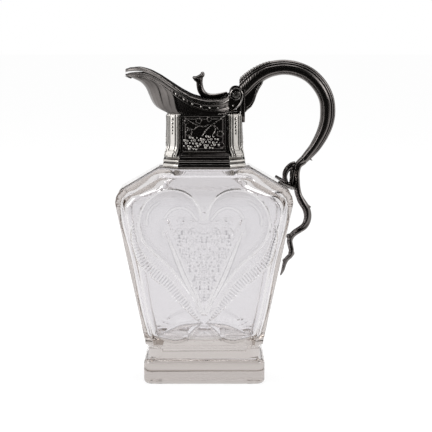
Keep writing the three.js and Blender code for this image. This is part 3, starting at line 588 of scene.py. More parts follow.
def engravedFace(spots):
    # how deep the wheel has gone at each spot of the face, less than nothing where it never touched,
    # and a tone for the surface: above nothing is matt and light, below is clear and painted darker, a
    # painted shade
    spots = np.column_stack([np.abs(spots[:, 0]), spots[:, 1]])
    depth = np.full(len(spots), -engraving["clear"])
    tone = np.zeros(len(spots))
    for cut in (cutLobes, cutRibbon, cutBunch, cutStalkAndCurls, cutFootLeaves):
        depth, tone = cut(spots, depth, tone)
    oval = 1 - np.hypot(spots[:, 0] / ovalCut["halfX"], (spots[:, 1] - ovalCut["z"]) / ovalCut["halfZ"])
    deep = np.where(oval > 0, ovalCut["least"] + ovalCut["depth"] * oval, -engraving["clear"])
    return np.maximum(depth, deep), tone


lobes = {
    "depth": 0.85, "reach": 13.0, "lip": 0.12, "lineDepth": 0.8, "lineHalf": 1.25,
    "tone": -0.04, "rimPaintedShade": 0.3, "rimFade": 2.2, "gapWidth": 34, "gapLow": 118, "gapHigh": 137,
}
heartLobe = [
    (2.9, 132.4), (2.9, 142.4), (5.4, 149.9), (10.4, 156.1), (17.8, 160.7), (27, 162.3), (36.1, 160.7),
    (44.4, 155.7), (50.2, 149), (53.5, 140.7), (54.4, 131.6), (51.9, 122.5), (46.9, 115), (39.4, 107.5),
    (31.1, 100.1), (22.8, 90.9), (14.5, 80.1), (7.1, 69.3), (1.2, 58.5), (2.9, 67.7), (7.9, 77.6),
    (13.7, 88.4), (18.7, 100.1), (22.8, 110), (27.8, 117.5), (33.6, 127), (25.3, 131.5), (14.5, 133.5),
]


def cutLobes(spots, depth, tone):
    loop = closedSpline(heartLobe, 150)
    gap, _ = alongCurve(spots, np.vstack([loop, loop[:1]]))
    within = insideLoop(spots, loop)
    bowl = lobes["lip"] + lobes["depth"] * np.sin(np.clip(gap / lobes["reach"], 0, 1) * math.pi / 2)
    depth = np.where(within, np.maximum(depth, bowl), depth)
    # the outline isn't cut where the bunch begins
    x, z = spots[:, 0], spots[:, 1]
    drawn = ~((x < lobes["gapWidth"]) & (z > lobes["gapLow"]) & (z < lobes["gapHigh"]))
    depth = np.where(drawn, np.maximum(depth, groove(gap, lobes["lineHalf"], lobes["lineDepth"])), depth)
    # inside the lobes the glass is painted a little darker, and darker still along the drawn outline, a
    # painted shade
    tone = np.where(within, lobes["tone"] - lobes["rimPaintedShade"] * np.exp(-gap / lobes["rimFade"]) * drawn, tone)
    return depth, np.where((gap < lobes["lineHalf"]) & drawn, 1.0, tone)


ribbon = {
    "half": 4.3, "pitch": 2.6, "depth": 0.6, "least": 0.08, "edge": 0.55, "edgeDepth": 0.4,
    "light": 1.2, "dark": 0.62, "edgeTone": 0.9,
}
ribbonLine = [
    (58.5, 136), (58.1, 124.1), (56.5, 114.2), (51, 103.4), (41.1, 93.4), (29.5, 83.5), (20.3, 72.7),
    (11.2, 61.9), (2.9, 51.9),
]


def cutRibbon(spots, depth, tone):
    line = splineAt(ribbonLine, np.linspace(0, 1, 60))
    gap, place = alongCurve(spots, line)
    share = place / stepLengths(line).sum()
    half = ribbon["half"] * np.sin(np.clip(share, 0.02, 0.98) * math.pi) ** 0.6
    rung = np.abs((place / ribbon["pitch"]) % 1 - 0.5) * 2
    ladder = ribbon["least"] + ribbon["depth"] * rung
    depth = np.where(gap < half, np.maximum(depth, ladder), depth)
    wide = half > 1
    depth = np.maximum(depth, groove(np.abs(gap - half), ribbon["edge"], ribbon["edgeDepth"]) * wide)
    # the rungs are matt and light, and between them the glass is painted darker, a painted shade
    tone = np.where(gap < half, ribbon["light"] * rung - ribbon["dark"], tone)
    return depth, np.where((np.abs(gap - half) < ribbon["edge"]) & wide, ribbon["edgeTone"], tone)


bunch = {
    "low": 62, "high": 126.5, "scallop": 5, "width": 27.5, "pitch": 4.1, "rowShare": 0.86, "size": 0.56,
    "swayX": 0.7, "swayZ": 0.6, "least": 0.12, "depth": 0.85, "nickDepth": 0.5, "nickHalf": 0.55,
}
bunchSide = [(63.5, 0.8), (76, 6), (89, 11.5), (102, 17), (117, 23), (128.6, 27.5)]


def cutBunch(spots, depth, tone):
    # grapes in staggered rows, each a small hollow with a crossed nick, inside a tapering outline
    pitch, rise = bunch["pitch"], bunch["pitch"] * bunch["rowShare"]
    edge = smoothLine(bunchSide, spots[:, 1])
    swing = np.abs(np.cos(spots[:, 0] / bunch["width"] * math.pi * 2.5 + 0.5))
    high = bunch["high"] + bunch["scallop"] * swing
    within = (spots[:, 0] < edge) & (spots[:, 1] > bunch["low"]) & (spots[:, 1] < high)
    row = np.round(spots[:, 1] / rise)
    shift = (row % 2) * pitch / 2
    column = np.round((spots[:, 0] - shift) / pitch)
    across = spots[:, 0] - (column * pitch + shift) - bunch["swayX"] * np.sin(row * 5.1 + column * 8.7)
    upward = spots[:, 1] - row * pitch * bunch["rowShare"] - bunch["swayZ"] * np.sin(row * 9.3 + column * 4.1)
    reach = np.hypot(across, upward) / (pitch * bunch["size"])
    grape = bunch["least"] + bunch["depth"] * np.clip(reach, 0, 1) ** 2
    crossed = np.clip(1 - np.minimum(np.abs(across), np.abs(upward)) / bunch["nickHalf"], 0, 1)
    nick = bunch["nickDepth"] * crossed * (reach < 0.55)
    fade = np.clip((edge - spots[:, 0]) / 3, 0, 1) * np.clip((high - spots[:, 1]) / 5, 0, 1)
    depth = np.where(within, np.maximum(depth, (grape + nick) * fade - engraving["clear"]), depth)
    chance = (np.sin(row * 12.9 + column * 78.2) * 43.7) % 1
    # the grapes get matt light and painted dark at random, and some of their nicks are painted dark, a
    # painted shade
    shine = (chance - 0.42) * 1.5 * np.cos(reach * 2.4) - 0.6 * (nick > 0.1) * (chance > 0.5)
    return depth, np.where(within, shine, tone)


stalk = {"half": 2.4, "depth": 1.1, "taper": 70, "shine": 0.6}
stalkLine = [(31.5, 126.5), (25.6, 112), (20.2, 98), (14.2, 84.5), (8.4, 73), (2.6, 62)]
lobeCurls = [
    [(6, 137.5), (12.5, 145), (20, 147.5), (27.5, 145), (32.5, 139)],
    [(37, 152), (43, 147.5), (46.8, 141), (47.5, 133)],
]


def cutStalkAndCurls(spots, depth, tone):
    gap, place = alongCurve(spots, splineAt(stalkLine, np.linspace(0, 1, 40)))
    half = stalk["half"] * np.sin(np.clip(place / stalk["taper"], 0.04, 1) * math.pi) ** 0.5
    depth = np.maximum(depth, groove(gap, half, stalk["depth"]))
    # the stalk is matt and light down the middle and painted darker along its edges, a painted shade
    tone = np.where(gap < half, np.where(gap < half * stalk["shine"], 1.0, -0.5), tone)
    for curl in lobeCurls:
        gap, _ = alongCurve(spots, splineAt(curl, np.linspace(0, 1, 24)))
        # each curl is a matt light line with painted shade beside it
        tone = np.where(gap < 0.7, 0.8, np.where(gap < 1.5, -0.3, tone))
    return depth, tone


leafCut = {"half": 2.6, "depth": 0.9, "veinHalf": 0.5}
footLeaves = [
    [(1.5, 51), (9, 50.5), (18, 49.6), (27, 46), (34, 42.5)],
    [(8, 44), (14, 39.5), (22, 36.8), (31, 37.6), (39, 40)],
    [(4, 49.5), (9, 45.5), (12.5, 41), (14, 36)],
]


def cutFootLeaves(spots, depth, tone):
    for leaf in footLeaves:
        line = splineAt(leaf, np.linspace(0, 1, 24))
        gap, place = alongCurve(spots, line)
        share = place / stepLengths(line).sum()
        half = leafCut["half"] * np.sin(np.clip(share, 0.03, 0.97) * math.pi) ** 0.7
        depth = np.maximum(depth, groove(gap, half, leafCut["depth"]))
        # the vein is painted dark, a painted shade, and the leaf is matt and light, fading to painted shade
        # towards its edges
        inLeaf = np.where(gap < leafCut["veinHalf"], -0.6, 0.9 - 1.2 * gap / half)
        tone = np.where(gap < half, inLeaf, tone)
    return depth, tone


def engravingBlock(name, side, step):
    across = np.arange(-engraving["halfWidth"], engraving["halfWidth"] + step / 2, step)
    grid = gridSpots(across, np.arange(engraving["low"], engraving["high"] + step / 2, step))
    depth, _ = engravedFace(grid)
    verts = np.column_stack([grid[:, 0], side * (glass["faceY"] - depth), grid[:, 1]])
    return makeObject(name, *closedSheet(verts, len(across), 1, side * (glass["faceY"] + 2)))


recess = {
    "rim": 5.5, "depth": 1.0, "slope": 1.6, "step": 1.1, "waveDepth": 0.24, "wavePitch": 7.0,
    "waveTurn": 0.02,
}


def recessBlock():
    # the underside of the foot is ground hollow inside a plain rim, in the slow waves of the wheel
    halfX, halfY = glass["footHalfX"] - recess["rim"], glass["footHalfY"] - recess["rim"]
    step = recess["step"]
    across = np.arange(-halfX - 1, halfX + 1, step)
    grid = gridSpots(across, np.arange(-halfY - 1, halfY + 1, step))
    inset = np.minimum(halfX - np.abs(grid[:, 0]), halfY - np.abs(grid[:, 1]))
    turn = grid[:, 1] / recess["wavePitch"] * 2 * math.pi + recess["waveTurn"] * grid[:, 0]
    deep = recess["depth"] + recess["waveDepth"] * np.cos(turn)
    depth = deep * np.clip(inset / recess["slope"], 0, 1) - engraving["clear"]
    return makeObject("recessCutter", *closedSheet(np.column_stack([grid, depth]), len(across), 2, -2))


def toneGlass(body):
    # the wheel's marks are kept with the faces it has cut, so that the glass can look matt there, and painted
    # darker where the mark is below nothing, a painted shade
    mesh = body.data
    at = np.empty(len(mesh.vertices) * 3)
    mesh.vertices.foreach_get("co", at)
    at = at.reshape(-1, 3) / mm
    _, tone = engravedFace(at[:, [0, 2]])
    tone *= np.where(at[:, 1] < 0, 1.0, engraving["backTone"])
    tone[np.abs(at[:, 1]) < glass["faceY"] - engraving["toneReach"]] = 0
    corner = np.empty(len(mesh.loops), int)
    mesh.loops.foreach_get("vertex_index", corner)
    areas, counts = np.empty(len(mesh.polygons)), np.empty(len(mesh.polygons), int)
    mesh.polygons.foreach_get("area", areas)
    mesh.polygons.foreach_get("loop_total", counts)
    small = np.repeat(areas < engraving["smallFace"] * mm * mm, counts)
    marks = mesh.attributes.new("frostAndPaintedShade", "FLOAT", "CORNER")
    marks.data.foreach_set("value", np.where(small, tone[corner], 0.0))


def makeGlass():
    body = glassSlab()
    for piece in (glassFoot(), glassStem(), glassCollarRing(), glassNeck()):
        booleanWith(body, piece, "UNION")
    booleanWith(body, glassHollow())
    booleanWith(body, engravingBlock("frontCutter", -1, engraving["step"]))
    booleanWith(body, engravingBlock("backCutter", 1, engraving["backStep"]))
    booleanWith(body, recessBlock())
    body.name = "cutGlassBody"
    body.data.materials.clear()
    body.data.materials.append(cutGlass)
    toneGlass(body)
    return finishPiece(body, "glass_body", 12)


glassBody = makeGlass()
print("glass ready", len(glassBody.data.polygons), "faces")


# Mount on the neck: collar, sleeve, pilasters and chased panels

sleeve = {
    "half": 29.9, "front": 19.7, "wall": 0.55, "bottom": 188.4, "flareTop": 195.0, "top": 224.4,
    "flare": 2.9, "gap": 0.3, "edge": 0.25, "sheenCornerShare": 0.25,
}


def squareRing(offset, z):
    # the sleeve's canted square, moved out by an offset
    half = sleeve["half"] + offset
    front = sleeve["front"] + offset * math.tan(math.pi / 8)
    return cornerRing(half, half, half - front, z)


def squareTube(name, profile):
    # profile: (height, offset) pairs of the outer skin, from the bottom up
    outer = [squareRing(offset, z) for z, offset in profile]
    inner = [squareRing(-sleeve["wall"], z) for z in (profile[-1][0], profile[0][0])]
    obj = makeObject(name, *skinRings(outer + inner, joined=True), agedSilver)
    softenEdges(obj, sleeve["edge"], 2, 30)
    # the canted corners stand out, so cleaning keeps them brighter than the flat sides; in part this is a
    # painted highlight, given to the faces by the way they turn
    obj.data.materials.append(polishedSheenSilver)
    for face in obj.data.polygons:
        if min(abs(face.normal.x), abs(face.normal.y)) > sleeve["sheenCornerShare"]:
            face.material_index = 1
    return obj


def roundBead(low, high, inner, outer, count=9):
    # half round moulding between two heights, standing out from inner to outer
    return [((low + high) / 2 - (high - low) / 2 * math.cos(a), inner + (outer - inner) * math.sin(a))
            for a in np.linspace(0, math.pi, count)]


collar = {"proud": 4.7, "cove": 2.0, "groove": 1.9}


def baseCollar():
    foot, top = glass["top"] + sleeve["gap"], sleeve["bottom"]
    rise = top - foot
    proud, cove, inner = collar["proud"], collar["cove"], collar["proud"] - collar["groove"]
    profile = [(foot, proud - 1.6)]
    profile += roundBead(foot + 0.02 * rise, foot + 0.46 * rise, proud - 1.3, proud)
    profile += [(foot + 0.48 * rise, inner), (foot + 0.55 * rise, inner)]
    profile += roundBead(foot + 0.56 * rise, foot + 0.82 * rise, proud - 1.6, proud - 0.5)
    profile += [(foot + 0.84 * rise, cove + 0.5), (foot + 0.9 * rise, cove + 0.1), (top, cove)]
    return finishPiece(squareTube("collarRing", profile), "base_collar", 30)


# shares of the flare's height and of how far it stands out
sleeveFlare = [(0.34, 0.72), (0.4, 0.74), (0.5, 0.52), (0.62, 0.32), (0.78, 0.13), (1, 0)]


def neckSleeve():
    bottom, flare = sleeve["bottom"], sleeve["flare"]
    rise = sleeve["flareTop"] - bottom
    profile = [(bottom, flare - 0.6)]
    profile += roundBead(bottom + 0.02 * rise, bottom + 0.3 * rise, flare - 0.5, flare, 7)
    profile += [(bottom + share * rise, flare * spread) for share, spread in sleeveFlare]
    profile.append((sleeve["top"], 0))
    return finishPiece(squareTube("neckTube", profile), "neck_sleeve", 30)


cement = {"high": 210.0, "bed": 0.3, "reach": 3.0, "wetting": 0.06}


def plasterBed():
    # the cement fills the room round the neck and lies as a thin bed under the collar
    inside = glass["neckHalf"] - cement["wetting"] - sleeve["half"]
    outside = -sleeve["wall"] - cement["wetting"]
    low = glass["top"] - cement["wetting"]
    bed = low + cement["bed"]
    profile = [(inside, low), (cement["reach"], low), (cement["reach"], bed), (outside, bed),
               (outside, cement["high"]), (inside, cement["high"])]
    rings = [squareRing(offset, z) for offset, z in profile]
    bedding = makeObject("neckCement", *skinRings(rings, joined=True), neckPlaster)
    return finishPiece(bedding, "neck_plaster", 30)


def faceOn(verts, angle, distance, z):
    # turns a piece built facing -Y so that it faces the given side of the mount
    verts = np.asarray(verts, float)
    x, y = verts[:, 0], verts[:, 1] - distance
    return np.column_stack([x * math.cos(angle) - y * math.sin(angle),
                            x * math.sin(angle) + y * math.cos(angle), verts[:, 2] + z])


def reliefPlate(look, height, reliefAt):
    # a closed plate facing -Y whose front stands out by reliefAt(spots, height) in front of its depth
    width, step = look["width"], look["step"]
    across = np.linspace(-width / 2, width / 2, int(width / step) + 1)
    grid = gridSpots(across, np.linspace(0, height, int(height / step) + 1))
    verts = np.column_stack([grid[:, 0], -look["depth"] - reliefAt(grid, height), grid[:, 1]])
    return closedSheet(verts, len(across), 1, 0)


panel = {
    "width": 36.0, "depth": 0.9, "border": 3.2, "margin": 1.2, "step": 0.3, "overPlate": 216.0,
    "grape": 1.25, "grapePitch": 2.9, "rowShare": 0.82, "grapeSeat": 0.25, "frameHalf": 0.42,
    "ground": 0.06, "stem": 0.45, "stemKnots": 0.12, "stemHeight": 0.8, "leafHeight": 0.7,
}
vineStems = [
    [(16.5, 29), (10, 24.5), (3, 19), (-1.5, 12.5)],
    [(-15.5, 27.5), (-9, 23.5), (-1, 20.5), (6, 22.3), (11.5, 18.5)],
    [(-4, 21.4), (-9.5, 18.2), (-14, 19.8)],
    [(8, 23), (9.3, 17.5), (7.2, 13.6)],
]
# middle, turn and size of each leaf; middle, half width and half height of each bunch
vineLeaves = [((-12.6, 15.5), 0.4, 3.2), ((-4.6, 25.3), 2.6, 2.9), ((13.2, 14.6), 1.2, 3.2),
              ((4.2, 26.6), -0.6, 2.4), ((14.2, 5.2), 0.9, 3), ((-15, 24), -0.4, 2.2)]
grapeBunches = [((-9.0, 6.6), 8.2, 5.4), ((4.6, 7.6), 8.4, 6.2)]


def leafRelief(spots, centre, turn, size, height):
    # five lobed vine leaf with veins
    dx, dz = spots[:, 0] - centre[0], spots[:, 1] - centre[1]
    angle = np.arctan2(dz, dx) - turn
    reach = np.hypot(dx, dz) / size
    edge = 0.66 + 0.3 * np.abs(np.cos(angle * 2.5)) + 0.06 * np.cos(angle * 15)
    body = np.clip((edge - reach) / 0.22, 0, 1)
    vein = 0.35 * np.clip(1 - np.abs(np.sin(angle * 2.5)) * reach * size / 0.32, 0, 1)
    return height * np.sqrt(body) * (1 + 0.25 * reach) - vein * (body > 0.4) * height * 0.8


def vineRelief(spots, height):
    x, z = spots[:, 0], spots[:, 1]
    border = panel["border"]
    inset = np.minimum(np.minimum(panel["width"] / 2 - np.abs(x), z), height - z)
    ground = panel["ground"] * np.sin(x * 5.1) * np.sin(z * 4.7) * (inset > border)
    for at, high in ((0.35, 0.3), (border - 0.4, 0.5)):
        ground = np.maximum(ground, high * roundTop((inset - at) / panel["frameHalf"]))
    for stem in vineStems:
        gap, place = alongCurve(spots, splineAt(stem, np.linspace(0, 1, 24)))
        knots = panel["stem"] + panel["stemKnots"] * np.cos(place * 2.4)
        ground = np.maximum(ground, panel["stemHeight"] * roundTop(gap / knots))
    for centre, turn, size in vineLeaves:
        ground = np.maximum(ground, leafRelief(spots, centre, turn, size, panel["leafHeight"]))
    return ground


def grapesOn(place):
    # round grapes in staggered rows, each bunch an oval; place turns panel spots into frame coordinates
    pitch = panel["grapePitch"]
    grapes = []
    for (bx, bz), halfX, halfZ in grapeBunches:
        for row in range(-4, 5):
            for column in range(-5, 6):
                x = (column + 0.5 * (row % 2)) * pitch + 0.35 * math.sin(row * 5.3 + column * 3.1)
                z = row * pitch * panel["rowShare"] + 0.3 * math.sin(row * 2.7 + column * 4.9)
                if math.hypot(x / halfX, z / halfZ) < 1:
                    radius = panel["grape"] * (0.85 + 0.2 * math.sin(row * 7.7 + column * 2.3))
                    centre = place([(bx + x, -panel["depth"] - panel["grapeSeat"], bz + z)])[0]
                    grapes.append(ball(centre, (radius,) * 3, rubbedSilver, 12))
    return grapes


def vinePanel(index, side):
    # the panel beside the handle ends below the handle's back plate
    foot, top = sleeve["flareTop"] - panel["margin"], sleeve["top"] - panel["margin"]
    if side == "handle_side":
        top = panel["overPlate"] - sleeve["gap"]
    place = lambda verts: faceOn(verts, index * math.pi / 2, sleeve["half"] + sleeve["gap"], foot)
    verts, faces = reliefPlate(panel, top - foot, vineRelief)
    plate = makeObject("vinePanel" + str(index), place(verts), faces, agedSilver)
    return finishPiece(joinObjects(plate, grapesOn(place)), "vine_panel_" + side, 40)


pilaster = {
    "width": 13.4, "depth": 1.5, "strip": 3.1, "step": 0.28, "stripHeight": 0.35, "bead": 0.55,
    "beadHeight": 0.9, "edgeAt": 5.7, "edgeHalf": 0.75, "edgeHeight": 0.6, "huskWidth": 1.5,
    "huskHeight": 1.9, "huskShrink": 0.13, "footLow": 1.2, "footHigh": 1.4, "footSteps": 3,
    "footHeight": 0.75, "footRise": 0.3, "topFade": 2.2, "topDrop": 0.9,
}
huskShares = [0.88, 0.78, 0.69, 0.61, 0.54]
pilasterFoot = [
    (189, 3.3), (190.4, 3.7), (191.8, 3.3), (193.6, 2.2), (195.6, 1.15), (198, 0.35), (201, 0), (230, 0),
]


def huskRelief(spots, height):
    # a framed strip with a drop of husks, on a foot of three steps
    strip, foot = pilaster["strip"], sleeve["flareTop"] - sleeve["bottom"]
    x, z = np.abs(spots[:, 0]), spots[:, 1]
    ground = np.where(x < strip, pilaster["stripHeight"], 0.0)
    ground = np.maximum(ground, pilaster["beadHeight"] * roundTop((x - strip) / pilaster["bead"]))
    edge = roundTop((x - pilaster["edgeAt"]) / pilaster["edgeHalf"])
    ground = np.maximum(ground, pilaster["edgeHeight"] * edge)
    for i, share in enumerate(huskShares):
        size = 1 - pilaster["huskShrink"] * i
        reach = np.hypot(spots[:, 0] / (pilaster["huskWidth"] * size),
                         (z - share * height) / (pilaster["huskHeight"] * size))
        ground = np.maximum(ground, np.where(reach < 1, pilaster["stripHeight"] + roundTop(reach), 0))
    low, high = pilaster["footLow"], foot - pilaster["footHigh"]
    wave = np.abs(np.cos((z - low) / (high - low) * pilaster["footSteps"] * math.pi))
    steps = pilaster["footHeight"] + pilaster["footRise"] * wave
    ground = np.where((z > low) & (z < high) & (x < strip + 1), steps, ground)
    fade = np.clip(1 - (height - z) / pilaster["topFade"], 0, 1) ** 2
    return ground - (ground + pilaster["topDrop"]) * fade


def pilasterPiece(index, side):
    low = pilasterFoot[0][0]
    distance = (sleeve["half"] + sleeve["front"]) / math.sqrt(2) + sleeve["gap"]
    verts, faces = reliefPlate(pilaster, sleeve["top"] - low, huskRelief)
    verts[:, 1] -= smoothLine(pilasterFoot, verts[:, 2] + low)
    verts = faceOn(verts, math.pi / 4 + index * math.pi / 2, distance, low)
    # the pilasters on the canted corners take the brighter polished silver: cleaned metal, and in part a
    # painted highlight
    piece = makeObject("pilaster" + str(index), verts, faces, polishedSheenSilver)
    return finishPiece(piece, "pilaster_" + side, 40)


plasterBed()
baseCollar()
neckSleeve()
for index, side in enumerate(("front", "handle_side", "back", "spout_side")):
    vinePanel(index, side)
for index, side in enumerate(("front_right", "rear_right", "rear_left", "front_left")):
    pilasterPiece(index, side)
print("mount ready")


# Spout, rim band and lid

mouth = {
    "radius": 31.8, "tip": -66.5, "rear": 20.4, "rearTop": 225.9, "quarter": 72, "levels": 60,
    "shell": 1.0,
}
mouthFlank = [
    (-10, 31.2), (-18, 29.2), (-26, 25.9), (-34, 21.3), (-42, 16.2), (-50, 11.8), (-58, 8.4), (-63.4, 5.6),
]
flankFromTip = [(mouth["tip"], 0), (mouth["tip"] + 0.8, 3.1)] + mouthFlank[::-1] + [(0, mouth["radius"])]
seatLine = [
    (-66.6, 255.9), (-63, 257.2), (-54.5, 257.9), (-45.9, 256.3), (-37.3, 252.4), (-28.9, 246.9),
    (-16.3, 238.8), (-7.9, 234.9), (4.6, 232.6), (12.9, 233), (17.1, 234.4), (20.7, 236.4),
]
bandHeights = [(-66.5, 1.7), (-60, 3), (-54, 3.9), (-29, 4.2), (-16, 4.8), (4.6, 5.9), (13, 7), (20.4, 9.2)]
band = {"depth": 1.1, "gap": 0.3, "steps": 520, "scrollFrom": 32, "scrollTo": 54, "scrollHeight": 0.55}


def mouthOutline(inset):
    # half circle at the back, pear shaped flanks that meet in the spout's tip
    quarter = mouth["quarter"]
    angles = np.linspace(0, math.pi / 2, quarter + 1)
    back = mouth["radius"] * np.column_stack([np.cos(angles), np.sin(angles)])
    shares = 1 - (1 - np.arange(1, quarter + 1) / quarter) ** 1.4
    half = np.vstack([back, evenAlong(flankFromTip[::-1], shares)])
    return offsetLoop(np.vstack([half, half[1:-1][::-1] * (1, -1)]), -inset)


def squareOutline():
    # the top of the sleeve, with as many points as the mouth
    quarter = mouth["quarter"]
    corners = squareRing(0, 0)[:, :2]
    start = np.array([corners[0][0], 0])
    stops = [start, *corners, start]
    points = []
    for k in range(len(stops) - 1):
        ends = k == 0 or k == len(stops) - 2 or k % 2 == 1
        steps = quarter // 3 if ends else quarter * 2 // 3
        points += [stops[k] + (stops[k + 1] - stops[k]) * i / steps for i in range(steps)]
    return np.array(points)


throat = {
    "fluteDepth": 0.3, "fluteWidest": 0.2, "ribHeight": 0.36, "ribHalf": 0.015, "beakFrom": 0.6,
    "underBand": 0.85, "rearWall": 1.1,
}
throatRibs = [0.165, 0.25, 0.335, 0.665, 0.72, 0.79, 0.87]
throatLine = [
    (0, 0), (0.14, 0.28), (0.28, 0.39), (0.48, 0.47), (0.66, 0.54), (0.82, 0.66), (0.92, 0.83), (1, 1),
]


def throatRelief(fromBack, level):
    # flutes between the ribs, and both of them stronger under the beak
    swell = np.sin(np.clip(level * 1.02, 0, 1) * math.pi) ** 0.45
    relief = np.zeros(np.broadcast(fromBack, level).shape)
    for low, high in zip(throatRibs, throatRibs[1:]):
        share = np.clip((fromBack - low) / (high - low), 0, 1)
        flute = np.sin(share * math.pi) * (high - low < throat["fluteWidest"])
        relief = relief - throat["fluteDepth"] * flute * (0.55 + 0.45 * (low > throat["beakFrom"]))
    for rib in throatRibs:
        reach = np.abs(fromBack - rib) / throat["ribHalf"]
        relief = relief + throat["ribHeight"] * roundTop(reach) * (0.5 + 0.5 * (rib > throat["beakFrom"]))
    return relief * swell


def ringNormals(rings):
    around = np.roll(rings, -1, axis=1) - np.roll(rings, 1, axis=1)
    normal = np.cross(around, np.gradient(rings, axis=0))
    return normal / np.linalg.norm(normal, axis=2)[:, :, None]


def throatSkin():
    inset = band["depth"] + band["gap"]
    foot, lip = squareOutline(), mouthOutline(inset)
    rear = lip[:, 0] > mouth["rear"] - throat["rearWall"] - inset
    underBand = smoothLine(seatLine, lip[:, 0]) - throat["underBand"] * smoothLine(bandHeights, lip[:, 0])
    topAt = np.where(rear, mouth["rearTop"] - 0.5, underBand)
    seatAt = np.where(rear, mouth["rearTop"], smoothLine(seatLine, lip[:, 0]))
    levels = np.linspace(0, 1, mouth["levels"])
    rings = []
    for level in levels:
        at = foot + (lip - foot) * float(smoothLine(throatLine, level))
        rings.append(np.column_stack([at, sleeve["top"] + level * (topAt - sleeve["top"])]))
    rings = np.array(rings)
    normal = ringNormals(rings)
    inner = rings - normal * mouth["shell"]
    inner[:, :, 2] = np.maximum(inner[:, :, 2], sleeve["top"])
    around = np.arange(len(lip)) / len(lip)
    fromBack = np.minimum(around, 1 - around) * 2
    rings = rings + normal * throatRelief(fromBack[None, :], levels[:, None])[:, :, None]
    lipRing = np.column_stack([lip, seatAt])
    innerLip = np.column_stack([offsetLoop(lip, -mouth["shell"]), seatAt])
    return list(rings) + [lipRing, innerLip] + list(inner[::-1])


def spoutThroat():
    shell = makeObject("spoutShell", *skinRings(throatSkin(), joined=True), agedSilver)
    return finishPiece(shell, "spout_throat", 45)


# how far the band stands out, and how far down its height, from the inner edge of the seat round to the foot
bandSection = [
    (-1, 0), (-0.1, 0), (0, -0.03), (0.06, -0.07), (0, -0.11), (-0.28, -0.14), (-0.34, -0.17),
    (-0.2, -0.2), (-0.34, -0.24), (-0.46, -0.32), (-0.5, -0.45), (-0.5, -0.58), (-0.44, -0.68),
    (-0.3, -0.74), (-0.1, -0.77), (0.02, -0.81), (0.05, -0.86), (0, -0.91), (-0.24, -0.94), (-0.3, -1),
    (-1, -1),
]


def leafScroll(place, share):
    # a running scroll of leaves in the hollow of the band, ahead of the pearls
    inHollow = np.clip(1 - np.abs((share + 0.47) / 0.24), 0, 1)
    span = np.clip((place - band["scrollFrom"]) / 3, 0, 1) * np.clip((band["scrollTo"] - place) / 5, 0, 1)
    curl = np.sin(place * 1.25 + share * 13) * np.cos(place * 0.62 - share * 9)
    return band["scrollHeight"] * span * inHollow ** 0.5 * np.clip(0.35 + curl, 0, 1)


pearls = {"radius": 0.95, "seat": 0.987, "count": 7, "start": 3.0, "step": 7.2, "height": 0.49}


def rimBand():
    quarter, steps = mouth["quarter"], band["steps"]
    first = round(math.acos(mouth["rear"] / mouth["radius"]) / (math.pi / 2) * quarter)
    keep = slice(first, 4 * quarter - first + 1)
    outer, inner = (evenAlong(mouthOutline(inset)[keep], np.linspace(0, 1, steps), 2400)
                    for inset in (0, band["depth"]))
    run = runAlong(outer)
    fromEnd = np.minimum(run, run[-1] - run)
    rings = []
    for i in range(steps):
        seat, high = smoothLine(seatLine, outer[i][0]), smoothLine(bandHeights, outer[i][0])
        ring = []
        for proud, share in bandSection:
            if -0.9 < proud < 0.1:
                proud = proud + float(leafScroll(fromEnd[i], share))
            ring.append((*(outer[i] + (inner[i] - outer[i]) * -proud), float(seat + share * high)))
        rings.append(ring)
    moulding = makeObject("rimMoulding", *skinRings(rings), agedSilver)
    beads = [pearlOn(outer, fromEnd, k, side) for k in range(pearls["count"]) for side in (1, -1)]
    return finishPiece(joinObjects(moulding, beads), "rim_band", 42)


def pearlOn(outer, fromEnd, k, side):
    half, seat = len(outer) // 2, pearls["seat"]
    want = pearls["start"] + k * pearls["step"]
    x, y = (float(np.interp(want, fromEnd[:half], outer[:half, axis])) for axis in (0, 1))
    z = float(smoothLine(seatLine, x) - pearls["height"] * smoothLine(bandHeights, x))
    return ball((x * seat, side * y * seat, z), (pearls["radius"],) * 3, polishedSheenSilver)


def mouthHalfAt(x):
    x = np.asarray(x, float)
    back = np.sqrt(np.clip(mouth["radius"] ** 2 - x ** 2, 0, None))
    return np.where(x >= 0, back, smoothLine(flankFromTip, np.minimum(x, 0)))


lid = {
    "edge": 1.6, "sheet": 1.5, "inset": 0.2, "stations": 150, "across": 96, "ridge": 0.35,
    "ridgeHalf": 1.1, "groove": 0.35, "grooveAt": 2.2, "grooveHalf": 0.5, "rounding": 0.3,
    "roundingWidth": 0.35, "beadFade": 8,
}
lidRise = [(-66.5, 0.7), (-52, 1.6), (-20, 1.8), (20.4, 0.5)]
lidGap = [(-66.5, 1.5), (-52, 1.1), (-38, 0.5), (20.4, 0.5)]
lidBeads = [(0.9, 0.9, 0.55), (3.5, 0.75, 0.5), (6.2, 0.6, 0.35)]  # from the edge, half width, height


def lidTopAt(x, across):
    rise = smoothLine(lidRise, x)
    return smoothLine(seatLine, x) + smoothLine(lidGap, x) + lid["edge"] + rise * (1 - across ** 2)


